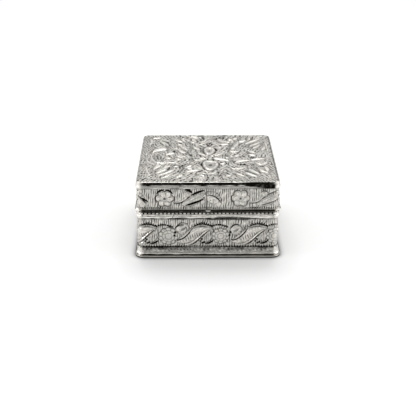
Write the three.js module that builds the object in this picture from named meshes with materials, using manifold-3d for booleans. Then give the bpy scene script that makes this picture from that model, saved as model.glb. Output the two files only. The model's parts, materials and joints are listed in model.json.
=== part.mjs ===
// A square silver keepsake box with a deep hinged lid, built from sheet, drawn mouldings and tube.
// Millimetres, +Z up. The origin is the middle of the underside, and the front faces -Y.
import * as THREE from "three";
import { mergeVertices, toCreasedNormals } from "three/addons/utils/BufferGeometryUtils.js";
import Module from "manifold-3d";

const wasm = await Module();
wasm.setup();

// Walls: one silver strip bent round a square with soft corners
const wallWidth = 60;
const wallDepth = 60;
const sheet = 0.8;
const baseHeight = 21.1;
const lidHeight = 13.1;
const partingGap = 0.4;

// Bottom plate and lid plate
const basePlateThickness = 0.8;
const basePlateOverhang = 1.3;
const lidPlateThickness = 0.9;
const lidPlateLean = 0.22;

// Drawn mouldings: how tall each is, and how far it stands out from the wall
const footHeight = 3.9;
const footProjection = 1.1;
const rimRoundHeight = 1.95;
const rimRoundProjection = 0.6;
const beadingHeight = 1.15;
const beadingProjection = 0.36;
const beadPitch = 1.65;
const beadNotchWidth = 0.7;
const beadNotchDepth = 0.24;
const corniceHeight = 1.8;
const corniceProjection = 0.5;
const lidRimHeight = 0.95;
const lidRimProjection = 0.85;

// Bezel: the inner strip that the lid closes over
const bezelThickness = 0.6;
const bezelRise = 1.6;
const bezelBelowRim = 7;
const bezelClearance = 0.15;
const bezelChamfer = 0.2;
const bezelInnerRadius = 1.05;

// Hinge: chenier tube knuckles on a riveted pin, lying in a channel between two bearers
const knuckleRadius = 1.1;
const knuckleCount = 7;
const knuckleEndGap = 0.2;
const channelGap = 0.15;
const channelBite = 0.35;
const pinRadius = 0.5;
const pinClearance = 0.08;
const rivetRadius = 0.85;
const rivetThickness = 0.35;
const hingeEndRoom = 1;
const bearerHeight = 3.1;
const bearerLip = 0.5;
const openAngle = THREE.MathUtils.degToRad(100);
const lipMargin = THREE.MathUtils.degToRad(1.5);

// Thumb lip: the small pointed nib in the middle of the lid's front rim
const lipWidth = 2.2;
const lipHeight = 1.35;
const lipReach = 0.45;
const lipHang = 0.4;

// Chased relief: how far it stands out from its ground, how deep its solids are rooted in the
// sheet, and what it keeps from the mouldings and from the bearer on the lid's back
const reliefRise = 0.4;
const reliefSeat = 0.3;
const reliefMargin = 0.3;
const baseRepeats = 10;
const baseFirstCrest = -2;

// Facets
const cornerSteps = 7;
const curveSteps = 6;
const tubeSides = 18;
const bladeSteps = 5;
const flowerPetals = 9;
const roundSides = 8;
const ringSteps = 14;

// Places that follow from the sizes above
const cornerRadius = bezelInnerRadius + bezelThickness + bezelClearance + sheet;
const basePlateTop = basePlateThickness;
const lidBottom = baseHeight + partingGap;
const boxHeight = lidBottom + lidHeight;
const lidPlateBottom = boxHeight - lidPlateThickness;
const channelRadius = knuckleRadius + channelGap;
const hingeY = wallDepth / 2 + channelRadius - channelBite;
const hingeZ = baseHeight + partingGap / 2;
const backFlat = wallWidth - 2 * cornerRadius;
const hingeLength = backFlat - 2 * hingeEndRoom;

// The four corner arcs of the wall, anticlockwise from the left end of the back, each point with
// the direction that faces out of the wall there.
function wallOutline() {
  const centreX = wallWidth / 2 - cornerRadius;
  const centreY = wallDepth / 2 - cornerRadius;
  const corners = [[-1, 1], [-1, -1], [1, -1], [1, 1]];
  return corners.flatMap(([sideX, sideY], corner) =>
    Array.from({ length: cornerSteps + 1 }, (_, step) => {
      const angle = (Math.PI / 2) * (corner + 1 + step / cornerSteps);
      const out = new THREE.Vector2(Math.cos(angle), Math.sin(angle));
      const centre = new THREE.Vector2(sideX * centreX, sideY * centreY);
      return { at: centre.addScaledVector(out, cornerRadius), out };
    }),
  );
}

const fullOutline = wallOutline();
const threeSides = fullOutline.slice(cornerSteps, -cornerSteps);

function indexed(positions, faces) {
  const geometry = new THREE.BufferGeometry();
  geometry.setAttribute("position", new THREE.Float32BufferAttribute(positions, 3));
  geometry.setIndex(faces);
  return geometry;
}

// Carries a profile along an outline of the wall. The profile is anticlockwise in (outwards, up),
// and there is one for all stations or one for each. A closed sweep joins up with itself, and an
// open one gets a cap at each end.
function sweep(outline, profiles, closed) {
  const profileAt = (row) => (Array.isArray(profiles[0]) ? profiles[row] : profiles);
  const rows = outline.length;
  const columns = profileAt(0).length;
  const positions = outline.flatMap(({ at, out }, row) =>
    profileAt(row).flatMap((p) => [at.x + out.x * p.x, at.y + out.y * p.x, p.y]),
  );
  const faces = [];
  for (let row = 0; row < (closed ? rows : rows - 1); row++) {
    for (let column = 0; column < columns; column++) {
      const next = (column + 1) % columns;
      const here = row * columns;
      const ahead = ((row + 1) % rows) * columns;
      faces.push(here + column, ahead + column, ahead + next);
      faces.push(here + column, ahead + next, here + next);
    }
  }
  if (!closed) {
    const last = (rows - 1) * columns;
    for (const [a, b, c] of THREE.ShapeUtils.triangulateShape(profileAt(0), [])) {
      faces.push(a, b, c);
      faces.push(last + c, last + b, last + a);
    }
  }
  return indexed(positions, faces);
}

// Beaded strip: a flat wire whose face is filed in by a notch between every two beads
function beadedStrip() {
  const stations = fullOutline.flatMap((station, index) => {
    const next = fullOutline[index + 1];
    if (!next || !station.out.equals(next.out)) return [{ ...station, filed: 0 }];
    const run = station.at.distanceTo(next.at);
    const beads = Math.max(1, Math.floor((run - beadNotchWidth) / beadPitch));
    const margin = (run - beads * beadPitch) / 2;
    const notches = Array.from({ length: beads + 1 }, (_, notch) => margin + notch * beadPitch);
    const edges = notches.flatMap((middle) => [
      { along: middle - beadNotchWidth / 2, filed: 0 },
      { along: middle, filed: beadNotchDepth },
      { along: middle + beadNotchWidth / 2, filed: 0 },
    ]);
    return [
      { ...station, filed: 0 },
      ...edges.map(({ along, filed }) => ({
        at: station.at.clone().lerp(next.at, along / run),
        out: station.out,
        filed,
      })),
    ];
  });
  const low = baseHeight - beadingHeight;
  const profiles = stations.map(({ filed }) =>
    stripProfile(0, beadingProjection - filed, low, baseHeight),
  );
  return sweep(stations, profiles, false);
}

// A solid plate whose edge follows the wall's outline: each station gives how far its edge stands
// out from the wall, and its height.
function plate(stations) {
  const columns = fullOutline.length;
  const positions = stations.flatMap((station) =>
    fullOutline.flatMap(({ at, out }) => [
      at.x + out.x * station.x,
      at.y + out.y * station.x,
      station.y,
    ]),
  );
  const faces = [];
  for (let level = 0; level < stations.length - 1; level++) {
    for (let column = 0; column < columns; column++) {
      const next = (column + 1) % columns;
      const low = level * columns;
      const high = (level + 1) * columns;
      faces.push(low + column, low + next, high + next);
      faces.push(low + column, high + next, high + column);
    }
  }
  const top = (stations.length - 1) * columns;
  for (let column = 1; column < columns - 1; column++) {
    faces.push(0, column + 1, column);
    faces.push(top, top + column, top + column + 1);
  }
  return indexed(positions, faces);
}

// A straight run of a section given in (towards the back, up), laid along X about the middle.
function runAlongX(shape, length) {
  const geometry = new THREE.ExtrudeGeometry(shape, {
    depth: length,
    bevelEnabled: false,
    curveSegments: tubeSides,
  });
  geometry.translate(0, 0, -length / 2);
  geometry.applyMatrix4(new THREE.Matrix4().makeBasis(
    new THREE.Vector3(0, 1, 0),
    new THREE.Vector3(0, 0, 1),
    new THREE.Vector3(1, 0, 0),
  ));
  return geometry;
}

// The four flat sides of the wall, each with its half length, its distance from the middle of the
// box and where its middle comes along the strip, counted from the middle of the front
const cornerArc = (Math.PI / 2) * cornerRadius;
const wallSides = (() => {
  const halfX = wallWidth / 2 - cornerRadius;
  const halfY = wallDepth / 2 - cornerRadius;
  const step = halfX + cornerArc + halfY;
  return [
    { half: halfX, reach: wallDepth / 2, middle: 0 },
    { half: halfY, reach: wallWidth / 2, middle: step },
    { half: halfX, reach: wallDepth / 2, middle: 2 * step },
    { half: halfY, reach: wallWidth / 2, middle: 3 * step },
  ];
})();
const stripLength = 4 * (wallSides[1].middle - wallSides[0].middle);

// Chasing is laid out flat, ends where its side begins to bend and is turned to its side
function onSide(side, index, geometries) {
  const room = new THREE.BoxGeometry(2 * side.half, 2 * (reliefRise + reliefSeat), 2 * boxHeight);
  return reliefOf(geometries)
    .intersect(solidOf(room))
    .translate([0, -side.reach, 0])
    .rotate([0, 0, index * 90]);
}

function onWall(along, up, out) {
  return [along, -out, up];
}

function onLid(x, y, out) {
  return [x, y, boxHeight + out];
}

// How wide a slope is at its root, if it is so wide where it leaves the ground
function rooted(width) {
  return (width * (reliefRise + reliefSeat)) / reliefRise;
}

// A chased blade along its spine, closed to a point at both ends: a low roof, or with a flat back
// over the given share of its width
function blade(points, width, flatShare, place) {
  const ends = points.map(([x, y]) => new THREE.Vector2(x, y));
  const Spine = points.length > 3 ? THREE.CubicBezierCurve : THREE.QuadraticBezierCurve;
  const spine = new Spine(...ends);
  const backs = flatShare > 0 ? [flatShare, -flatShare] : [0];
  const size = backs.length + 2;
  const positions = [...place(ends[0].x, ends[0].y, -reliefSeat)];
  for (let step = 1; step < bladeSteps; step++) {
    const share = step / bladeSteps;
    const at = spine.getPoint(share);
    const ahead = spine.getTangent(share);
    const swell = Math.sin(Math.PI * share);
    const corner = (reach, out) =>
      positions.push(...place(at.x - ahead.y * reach * swell, at.y + ahead.x * reach * swell, out));
    const root = rooted((width / 2) * (1 - flatShare)) + (width / 2) * flatShare;
    corner(root, -reliefSeat);
    backs.forEach((back) => corner((back * width) / 2, reliefRise));
    corner(-root, -reliefSeat);
  }
  const tip = ends[ends.length - 1];
  positions.push(...place(tip.x, tip.y, -reliefSeat));
  const tipIndex = positions.length / 3 - 1;
  const faces = [0, 1, size];
  for (let row = 1; row < tipIndex; row += size) {
    const last = row + size === tipIndex;
    for (let left = row; left < row + size - 1; left++) {
      if (row === 1) faces.push(0, left + 1, left);
      if (last) faces.push(left + 1, tipIndex, left);
      else faces.push(left + 1, left + 1 + size, left + size, left + 1, left + size, left);
    }
    const right = row + size - 1;
    if (last) faces.push(row, tipIndex, right);
    else faces.push(row, row + size, right + size, row, right + size, right);
  }
  return indexed(positions, faces);
}

// A chased round: an outline, a crest ring and a middle. A flower dips between its petals.
const crestShare = 0.6;
const notchShare = 0.72;
const heartShare = 0.85;

function round([x, y], radius, petals, place) {
  const sides = petals > 0 ? 2 * petals : roundSides;
  const crest = radius * crestShare;
  const ring = (reach, out, share) =>
    Array.from({ length: sides }, (_, side) => {
      const angle = (2 * Math.PI * side) / sides;
      const scale = petals > 0 && side % 2 === 1 ? share : 1;
      return place(
        x + reach * scale * Math.cos(angle),
        y + reach * scale * Math.sin(angle),
        out > 0 ? out * scale : out,
      );
    }).flat();
  const positions = [
    ...ring(crest + rooted(radius - crest), -reliefSeat, notchShare),
    ...ring(crest, reliefRise, notchShare),
    ...place(x, y, petals > 0 ? reliefRise * heartShare : reliefRise),
    ...place(x, y, -reliefSeat),
  ];
  const faces = [];
  for (let side = 0; side < sides; side++) {
    const next = (side + 1) % sides;
    faces.push(side, next, sides + next, side, sides + next, sides + side);
    faces.push(sides + side, sides + next, 2 * sides);
    faces.push(next, side, 2 * sides + 1);
  }
  return indexed(positions, faces);
}

// A chased oval ring: a low roof bent round on itself
function ovalRing([x, y], [across, up], width, place) {
  const half = rooted(width / 2);
  const loop = (grow, out) =>
    Array.from({ length: ringSteps }, (_, step) => {
      const angle = (2 * Math.PI * step) / ringSteps;
      return place(x + (across + grow) * Math.cos(angle), y + (up + grow) * Math.sin(angle), out);
    }).flat();
  const positions = [
    ...loop(half, -reliefSeat),
    ...loop(0, reliefRise),
    ...loop(-half, -reliefSeat),
  ];
  const faces = [];
  for (let step = 0; step < ringSteps; step++) {
    const next = (step + 1) % ringSteps;
    for (let row = 0; row < 3; row++) {
      const here = row * ringSteps;
      const over = ((row + 1) % 3) * ringSteps;
      faces.push(here + step, here + next, over + next, here + step, over + next, over + step);
    }
  }
  return indexed(positions, faces);
}

function solidOf(geometry) {
  const bare = geometry.clone();
  bare.deleteAttribute("normal");
  bare.deleteAttribute("uv");
  const merged = mergeVertices(bare);
  return new wasm.Manifold(new wasm.Mesh({
    numProp: 3,
    vertProperties: merged.attributes.position.array,
    triVerts: new Uint32Array(merged.index.array),
  }));
}

function geometryOf(solid) {
  const mesh = solid.getMesh();
  return indexed(Array.from(mesh.vertProperties), Array.from(mesh.triVerts));
}

// Materials: one metal in three finishes
const chasedSilver = new THREE.MeshStandardMaterial({
  color: 0xc9c5be,
  roughness: 0.32,
  metalness: 1,
});
const brightSilver = new THREE.MeshStandardMaterial({
  color: 0xd9d6d0,
  roughness: 0.16,
  metalness: 1,
});
const plainSilver = new THREE.MeshStandardMaterial({
  color: 0xcfccc5,
  roughness: 0.26,
  metalness: 1,
});

const creaseAngle = THREE.MathUtils.degToRad(32);

function piece(name, geometry, material) {
  const mesh = new THREE.Mesh(toCreasedNormals(geometry, creaseAngle), material);
  mesh.name = name;
  return mesh;
}

// Profiles of the mouldings, each anticlockwise in (outwards from the wall, up from its seat)
function profileOf(draw) {
  const shape = new THREE.Shape();
  draw(shape);
  const points = shape.getPoints(curveSteps);
  const first = points[0];
  const last = points[points.length - 1];
  return first.distanceTo(last) < Number.EPSILON ? points.slice(0, -1) : points;
}

function raised(profile, height) {
  return profile.map((p) => new THREE.Vector2(p.x, p.y + height));
}

// Foot moulding: a narrow quirk over the plate, a nose, and a hollow that rises to a fillet
const footShares = { quirk: 0.08, quirkOut: 0.6, nose: 0.17, hollowTop: 0.74, filletOut: 0.3 };

function footProfile() {
  return profileOf((shape) => {
    const quirk = footHeight * footShares.quirk;
    const quirkOut = footProjection * footShares.quirkOut;
    const nose = footHeight * footShares.nose;
    const hollowTop = footHeight * footShares.hollowTop;
    const filletOut = footProjection * footShares.filletOut;
    shape.moveTo(0, 0);
    shape.lineTo(quirkOut, 0);
    shape.lineTo(quirkOut, quirk);
    shape.lineTo(footProjection, nose);
    shape.quadraticCurveTo(filletOut, nose, filletOut, hollowTop);
    shape.lineTo(filletOut, footHeight);
    shape.lineTo(0, footHeight);
  });
}

// Half-round wire with a flat back: the base rim's moulding and the lid's rim wire
function halfRoundProfile(height, projection) {
  return profileOf((shape) => {
    shape.moveTo(0, 0);
    shape.absellipse(0, height / 2, projection, height / 2, -Math.PI / 2, Math.PI / 2, false, 0);
  });
}

// Cornice under the lid plate: a fillet, then a long face that leans in up to the plate's edge
const corniceFilletShare = 0.35;

function corniceProfile() {
  return [
    new THREE.Vector2(0, 0),
    new THREE.Vector2(corniceProjection, 0),
    new THREE.Vector2(corniceProjection, corniceHeight * corniceFilletShare),
    new THREE.Vector2(lidPlateLean, corniceHeight),
    new THREE.Vector2(0, corniceHeight),
  ];
}

function stripProfile(inside, outside, low, high) {
  return [
    new THREE.Vector2(inside, low),
    new THREE.Vector2(outside, low),
    new THREE.Vector2(outside, high),
    new THREE.Vector2(inside, high),
  ];
}

// Edge of the bottom plate, rounded over by half its thickness
function basePlateEdge() {
  const radius = basePlateThickness / 2;
  return Array.from({ length: curveSteps + 1 }, (_, step) => {
    const angle = -Math.PI / 2 + (Math.PI * step) / curveSteps;
    return new THREE.Vector2(
      basePlateOverhang - radius + radius * Math.cos(angle),
      radius + radius * Math.sin(angle),
    );
  });
}

// Edge of the lid plate: it leans in over the cornice and is rounded off at the top
const lidShoulderShare = 0.66;

function lidPlateEdge() {
  const shoulderOut = lidPlateLean * (1 - lidShoulderShare);
  const radius = lidPlateThickness * (1 - lidShoulderShare);
  const edge = new THREE.Path();
  edge.moveTo(lidPlateLean, lidPlateBottom);
  edge.lineTo(shoulderOut, boxHeight - radius);
  edge.quadraticCurveTo(0, boxHeight, -radius, boxHeight);
  return edge.getPoints(curveSteps);
}

// Both wall strips are cut back by the channel that the hinge lies in
function channel() {
  const section = new THREE.Shape();
  section.absarc(hingeY, hingeZ, channelRadius, 0, 2 * Math.PI, false);
  return solidOf(runAlongX(section, backFlat));
}

function wallStrip(low, high, relief) {
  const strip = sweep(fullOutline, stripProfile(-sheet, 0, low, high), true);
  return geometryOf(solidOf(strip).add(relief).subtract(channel()));
}

function reliefOf(geometries) {
  return wasm.Manifold.union(geometries.map(solidOf));
}

// Base wall's chasing, repeated right round it: a leaf that rises and curls over, a round flower
// and a bud. Places are shares of a repeat's length and of the chased height, sizes of the height.
const baseChasedShares = {
  leaf: [[-0.49, 0.2], [-0.2, 0.17], [-0.18, 0.75], [0.15, 0.66]],
  leafWidth: 0.4,
  leafFlat: 0.5,
  rib: [[-0.29, 0.06], [-0.09, 0.15], [-0.03, 0.46], [0.13, 0.61]],
  ribWidth: 0.12,
  flower: [0.31, 0.38],
  flowerRadius: 0.28,
  bud: [0.59, 0.6],
  budRadius: 0.18,
};

function baseRelief() {
  const low = basePlateTop + footHeight + reliefMargin;
  const tall = baseHeight - beadingHeight - rimRoundHeight - reliefMargin - low;
  const repeat = stripLength / baseRepeats;
  const shares = baseChasedShares;
  return wasm.Manifold.union(wallSides.map((side, index) => {
    const first = Math.round((side.middle - side.half - baseFirstCrest) / repeat);
    const last = Math.round((side.middle + side.half - baseFirstCrest) / repeat);
    const motifs = [];
    for (let crest = first - 1; crest <= last + 1; crest++) {
      const along = baseFirstCrest + crest * repeat - side.middle;
      const at = ([x, y]) => [along + x * repeat, low + y * tall];
      motifs.push(
        blade(shares.leaf.map(at), shares.leafWidth * tall, shares.leafFlat, onWall),
        blade(shares.rib.map(at), shares.ribWidth * tall, 0, onWall),
        round(at(shares.flower), shares.flowerRadius * tall, flowerPetals, onWall),
        round(at(shares.bud), shares.budRadius * tall, 0, onWall),
      );
    }
    return onSide(side, index, motifs);
  }));
}

// Lid wall's chasing, the same on each side: two flowers, two long leaves and a lobe between
const lidChasedShares = {
  petals: 6,
  flowers: [[-0.31, 0.51], [0.23, 0.51]],
  flowerRadius: 0.41,
  leaves: [
    [[-0.18, 0.2], [-0.1, 0.38], [-0.01, 0.74]],
    [[0.36, 0.2], [0.43, 0.34], [0.49, 0.62]],
  ],
  leafWidth: 0.34,
  lobe: [[-0.03, 0.66], [0.07, 0.66], [0.08, 0.06]],
  lobeWidth: 0.48,
  flat: 0.4,
};

function lidRelief() {
  const low = lidBottom + lidRimHeight + reliefMargin;
  const tall = lidPlateBottom - corniceHeight - reliefMargin - low;
  const shares = lidChasedShares;
  const relief = wasm.Manifold.union(wallSides.map((side, index) => {
    const at = ([x, y]) => [2 * x * (side.half + cornerArc / 2), low + y * tall];
    return onSide(side, index, [
      ...shares.flowers.map((centre) =>
        round(at(centre), shares.flowerRadius * tall, shares.petals, onWall)),
      ...shares.leaves.map((leaf) =>
        blade(leaf.map(at), shares.leafWidth * tall, shares.flat, onWall)),
      blade(shares.lobe.map(at), shares.lobeWidth * tall, shares.flat, onWall),
    ]);
  }));
  const bearerRoom = new THREE.BoxGeometry(wallWidth, 2 * (reliefRise + reliefSeat), boxHeight);
  bearerRoom.translate(
    0,
    wallDepth / 2,
    hingeZ + partingGap / 2 + bearerHeight + reliefMargin - boxHeight / 2,
  );
  return relief.subtract(solidOf(bearerRoom));
}

// Lid plate's chasing, in shares of half its width: blades from foot to tip, each with its width,
// and two ringed buds on the middle line
const plateBladeShares = [
  [0.01, 0.01, -0.03, 0.09, -0.11, 0.15, 0.07], [-0.02, -0.07, -0.1, -0.1, -0.19, -0.18, 0.07],
  [0.06, 0.01, 0.12, 0.07, 0.17, 0.18, 0.07], [0.09, -0.08, 0.21, -0.08, 0.32, -0.19, 0.07],
  [-0.6, 0.31, -0.75, 0.39, -0.82, 0.17, 0.1], [-0.49, 0.15, -0.57, 0.15, -0.62, 0.06, 0.07],
  [-0.33, 0.16, -0.37, 0.21, -0.45, 0.31, 0.07], [-0.67, -0.36, -0.76, -0.38, -0.78, -0.55, 0.08],
  [-0.54, -0.39, -0.62, -0.43, -0.71, -0.57, 0.06], [-0.53, -0.46, -0.62, -0.53, -0.74, -0.68, 0.06],
  [-0.48, -0.54, -0.59, -0.61, -0.71, -0.78, 0.06], [-0.41, -0.65, -0.5, -0.71, -0.66, -0.86, 0.06],
  [-0.3, -0.32, -0.29, -0.42, -0.23, -0.55, 0.09], [-0.26, 0.69, -0.33, 0.74, -0.39, 0.83, 0.06],
  [-0.6, 0.46, -0.63, 0.59, -0.73, 0.69, 0.06], [-0.14, 0.91, -0.21, 0.95, -0.31, 0.93, 0.06],
  [0.4, 0.69, 0.37, 0.75, 0.33, 0.81, 0.06], [0.5, 0.67, 0.55, 0.68, 0.62, 0.73, 0.06],
  [0.21, 0.53, 0.27, 0.55, 0.35, 0.54, 0.06], [0.6, 0.55, 0.69, 0.67, 0.86, 0.82, 0.06],
  [0.66, 0.45, 0.74, 0.55, 0.84, 0.64, 0.06], [0.72, 0.03, 0.67, 0.08, 0.62, 0.09, 0.06],
  [0.64, -0.16, 0.71, -0.09, 0.87, -0.09, 0.06], [0.77, -0.34, 0.85, -0.3, 0.88, -0.2, 0.05],
  [0.54, -0.61, 0.6, -0.71, 0.69, -0.81, 0.07], [0.59, -0.53, 0.67, -0.61, 0.73, -0.71, 0.06],
  [0.41, -0.26, 0.47, -0.15, 0.63, -0.17, 0.06], [0.24, -0.6, 0.21, -0.65, 0.2, -0.73, 0.06],
];
const plateRingShares = [[0.03, 0.27, 0.06, 0.13], [0.04, -0.33, 0.09, 0.16]];
const ringWidthShare = 0.03;

function plateRelief() {
  const halfX = wallWidth / 2;
  const halfY = wallDepth / 2;
  return reliefOf([
    ...plateBladeShares.map(([x0, y0, x1, y1, x2, y2, width]) => blade(
      [[x0 * halfX, y0 * halfY], [x1 * halfX, y1 * halfY], [x2 * halfX, y2 * halfY]],
      width * halfX,
      0,
      onLid,
    )),
    ...plateRingShares.map(([x, y, across, up]) => ovalRing(
      [x * halfX, y * halfY],
      [across * halfX, up * halfY],
      ringWidthShare * halfX,
      onLid,
    )),
  ]);
}

// A bearer: the solid length that carries the knuckles along the back, under the channel (side -1)
// or over it (side +1). Its lip ends where the other bearer's lip meets it with the lid open.
function bearer(side) {
  const wallY = wallDepth / 2;
  const reach = hingeY - wallY;
  const inner = Math.atan2(Math.sqrt(channelRadius ** 2 - reach ** 2), -reach);
  const lip = openAngle / 2 + lipMargin;
  const outer = channelRadius + bearerLip;
  const lipOut = [hingeY + outer * Math.cos(lip), hingeZ + side * outer * Math.sin(lip)];
  const footZ = hingeZ + side * (partingGap / 2 + bearerHeight);
  const shape = new THREE.Shape();
  shape.absarc(hingeY, hingeZ, channelRadius, side * inner, side * lip, side > 0);
  shape.lineTo(...lipOut);
  shape.quadraticCurveTo(lipOut[0], footZ, wallY, footZ);
  return runAlongX(shape, backFlat);
}

// Knuckles of tube, numbered from the left: the odd ones belong to the base, the even to the lid
function knuckle(index) {
  const pitch = hingeLength / knuckleCount;
  const section = new THREE.Shape();
  section.absarc(0, 0, knuckleRadius, 0, 2 * Math.PI, false);
  const bore = new THREE.Path();
  bore.absarc(0, 0, pinRadius + pinClearance, 0, 2 * Math.PI, true);
  section.holes.push(bore);
  const geometry = runAlongX(section, pitch - knuckleEndGap);
  const belongsTo = index % 2 === 0 ? "base" : "lid";
  const mesh = piece(`${belongsTo}_knuckle_${index + 1}`, geometry, brightSilver);
  mesh.position.set(pitch * (index - (knuckleCount - 1) / 2), hingeY, hingeZ);
  return mesh;
}

// Hinge pin: a wire with a rivet head closed over each end
function hingePin() {
  const half = hingeLength / 2;
  const end = half + rivetThickness;
  const profile = [
    new THREE.Vector2(0, -end),
    new THREE.Vector2(rivetRadius, -end),
    new THREE.Vector2(rivetRadius, -half),
    new THREE.Vector2(pinRadius, -half),
    new THREE.Vector2(pinRadius, half),
    new THREE.Vector2(rivetRadius, half),
    new THREE.Vector2(rivetRadius, end),
    new THREE.Vector2(0, end),
  ];
  const mesh = piece("hinge_pin", new THREE.LatheGeometry(profile, tubeSides), plainSilver);
  mesh.rotation.z = -Math.PI / 2;
  mesh.position.set(0, hingeY, hingeZ);
  return mesh;
}

// Thumb lip: a pointed nib, hollowed at the back to sit on the lid rim's wire and the wall above
function thumbLip() {
  const half = lipWidth / 2;
  const shape = new THREE.Shape();
  shape.moveTo(0, -lipHang);
  shape.quadraticCurveTo(half / 2, 0, half, lipHeight - lipHang);
  shape.lineTo(-half, lipHeight - lipHang);
  shape.quadraticCurveTo(-half / 2, 0, 0, -lipHang);
  const nib = new THREE.ExtrudeGeometry(shape, {
    depth: lidRimProjection + lipReach,
    bevelEnabled: false,
    curveSegments: curveSteps,
  });
  nib.applyMatrix4(new THREE.Matrix4().makeBasis(
    new THREE.Vector3(1, 0, 0),
    new THREE.Vector3(0, 0, 1),
    new THREE.Vector3(0, -1, 0),
  ));
  nib.translate(0, -wallDepth / 2, lidBottom);
  const wire = solidOf(lidRimWrap);
  const seated = solidOf(nib).subtract(wire);
  return piece("thumb_lip", geometryOf(seated), brightSilver);
}

function bezelProfile() {
  const outside = -sheet - bezelClearance;
  const inside = outside - bezelThickness;
  const low = baseHeight - bezelBelowRim;
  const high = baseHeight + bezelRise;
  return [
    new THREE.Vector2(inside, low),
    new THREE.Vector2(outside, low),
    new THREE.Vector2(outside, high - bezelChamfer),
    new THREE.Vector2(outside - bezelChamfer, high),
    new THREE.Vector2(inside, high),
  ];
}

const footRing = sweep(fullOutline, raised(footProfile(), basePlateTop), true);
const rimRound = halfRoundProfile(rimRoundHeight, rimRoundProjection);
const rimRoundBottom = baseHeight - beadingHeight - rimRoundHeight;
const rimRoundWrap = sweep(fullOutline, raised(rimRound, rimRoundBottom), false);
const corniceBottom = lidPlateBottom - corniceHeight;
const corniceRing = sweep(fullOutline, raised(corniceProfile(), corniceBottom), true);
const lidRim = halfRoundProfile(lidRimHeight, lidRimProjection);
const lidRimWrap = sweep(fullOutline, raised(lidRim, lidBottom), false);
const knuckles = Array.from({ length: knuckleCount }, (_, index) => knuckle(index));

const base = new THREE.Group();
base.add(
  piece("base_plate", plate(basePlateEdge()), plainSilver),
  piece("base_band", wallStrip(basePlateTop, baseHeight, baseRelief()), chasedSilver),
  piece("foot_moulding", footRing, brightSilver),
  piece("base_rim_moulding", rimRoundWrap, brightSilver),
  piece("base_rim_beading", beadedStrip(), brightSilver),
  piece("bezel", sweep(threeSides, bezelProfile(), false), plainSilver),
  piece("base_bearer", bearer(-1), brightSilver),
  hingePin(),
  ...knuckles.filter((mesh) => mesh.name.startsWith("base")),
);

const lid = new THREE.Group();
lid.add(
  piece("lid_plate", geometryOf(solidOf(plate(lidPlateEdge())).add(plateRelief())), chasedSilver),
  piece("lid_band", wallStrip(lidBottom, lidPlateBottom, lidRelief()), chasedSilver),
  piece("lid_cornice", corniceRing, brightSilver),
  piece("lid_rim_wire", lidRimWrap, brightSilver),
  piece("lid_bearer", bearer(1), brightSilver),
  thumbLip(),
  ...knuckles.filter((mesh) => mesh.name.startsWith("lid")),
);

const box = new THREE.Group();
box.add(base, lid);

export default box;
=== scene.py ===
import json

import bmesh
import bpy
import numpy as np
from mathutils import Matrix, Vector


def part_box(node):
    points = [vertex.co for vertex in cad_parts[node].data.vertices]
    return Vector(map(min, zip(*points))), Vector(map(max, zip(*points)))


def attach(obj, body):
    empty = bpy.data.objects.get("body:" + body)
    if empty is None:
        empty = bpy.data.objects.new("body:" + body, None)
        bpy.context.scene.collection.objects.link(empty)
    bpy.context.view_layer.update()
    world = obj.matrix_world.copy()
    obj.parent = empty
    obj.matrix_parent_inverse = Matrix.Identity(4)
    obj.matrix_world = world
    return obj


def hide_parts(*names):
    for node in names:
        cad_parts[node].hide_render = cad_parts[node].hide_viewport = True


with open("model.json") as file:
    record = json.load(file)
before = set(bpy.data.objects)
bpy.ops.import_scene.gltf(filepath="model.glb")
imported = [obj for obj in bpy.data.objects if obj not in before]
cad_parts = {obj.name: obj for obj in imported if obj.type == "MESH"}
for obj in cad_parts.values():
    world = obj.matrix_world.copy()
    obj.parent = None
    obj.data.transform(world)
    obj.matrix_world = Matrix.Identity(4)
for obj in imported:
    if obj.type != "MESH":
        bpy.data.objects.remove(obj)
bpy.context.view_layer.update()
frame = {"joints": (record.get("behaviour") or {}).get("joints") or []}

mm = 0.001

# Base wall
# One strip of sterling silver sheet bent round a square with soft corners and soldered. The
# ornament is raised from behind and chased from the front: leaves that curl over, round flowers
# and buds on a ground of fine upright lines. Black tarnish stays in the cuts.
def box_in_mm(node):
    """The lowest and the highest corner of a solid, in mm."""
    return np.array(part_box(node)) / mm


base_box = box_in_mm("base_band")
hinge_y, hinge_z = np.array(frame["joints"][0]["pos_m"])[1:] / mm
hinge_half = box_in_mm("base_bearer")[1][0]
relief_rise = 0.4
half_side = base_box[1][0] - relief_rise
corner_radius = half_side - hinge_half
sheet = 0.8
channel_radius = 1.25
straight = 2 * (half_side - corner_radius)
side_length = straight + np.pi / 2 * corner_radius
perimeter = 4 * side_length
everywhere = slice(None)


def wall_places(along):
    """Place and outward direction on the wall's outline, for lengths along it in mm from the
    middle of the front, growing towards +X: straight runs joined by quarter circles."""
    side = np.floor(along / side_length + 0.5)
    local = along - side * side_length
    on_straight = np.clip(local, -straight / 2, straight / 2)
    turn = (local - on_straight) / corner_radius
    heading = side * np.pi / 2 + turn
    out = np.stack([np.sin(heading), -np.cos(heading)], -1)
    side_out = np.stack([np.sin(side * np.pi / 2), -np.cos(side * np.pi / 2)], -1)
    side_along = np.stack([-side_out[:, 1], side_out[:, 0]], -1)
    core = side_out * (half_side - corner_radius) + side_along * on_straight[:, None]
    return core + out * corner_radius, out, local, side.astype(int) % 4


def fade(value, width):
    """1 where value is well under zero, 0 where it is well over, and between them the smooth step
    of the cube."""
    step = np.clip(0.5 - value / width, 0, 1)
    return step * step * (3 - 2 * step)


def bell(value, width, power=2):
    """A bell curve: 1 where value is zero, falling away on both sides over the width."""
    return np.exp(-((value / width) ** power))


def dome(share):
    """A round back: the height of a half circle at a share of its half width."""
    return np.sqrt(np.clip(1 - share**2, 0, 1))


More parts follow.
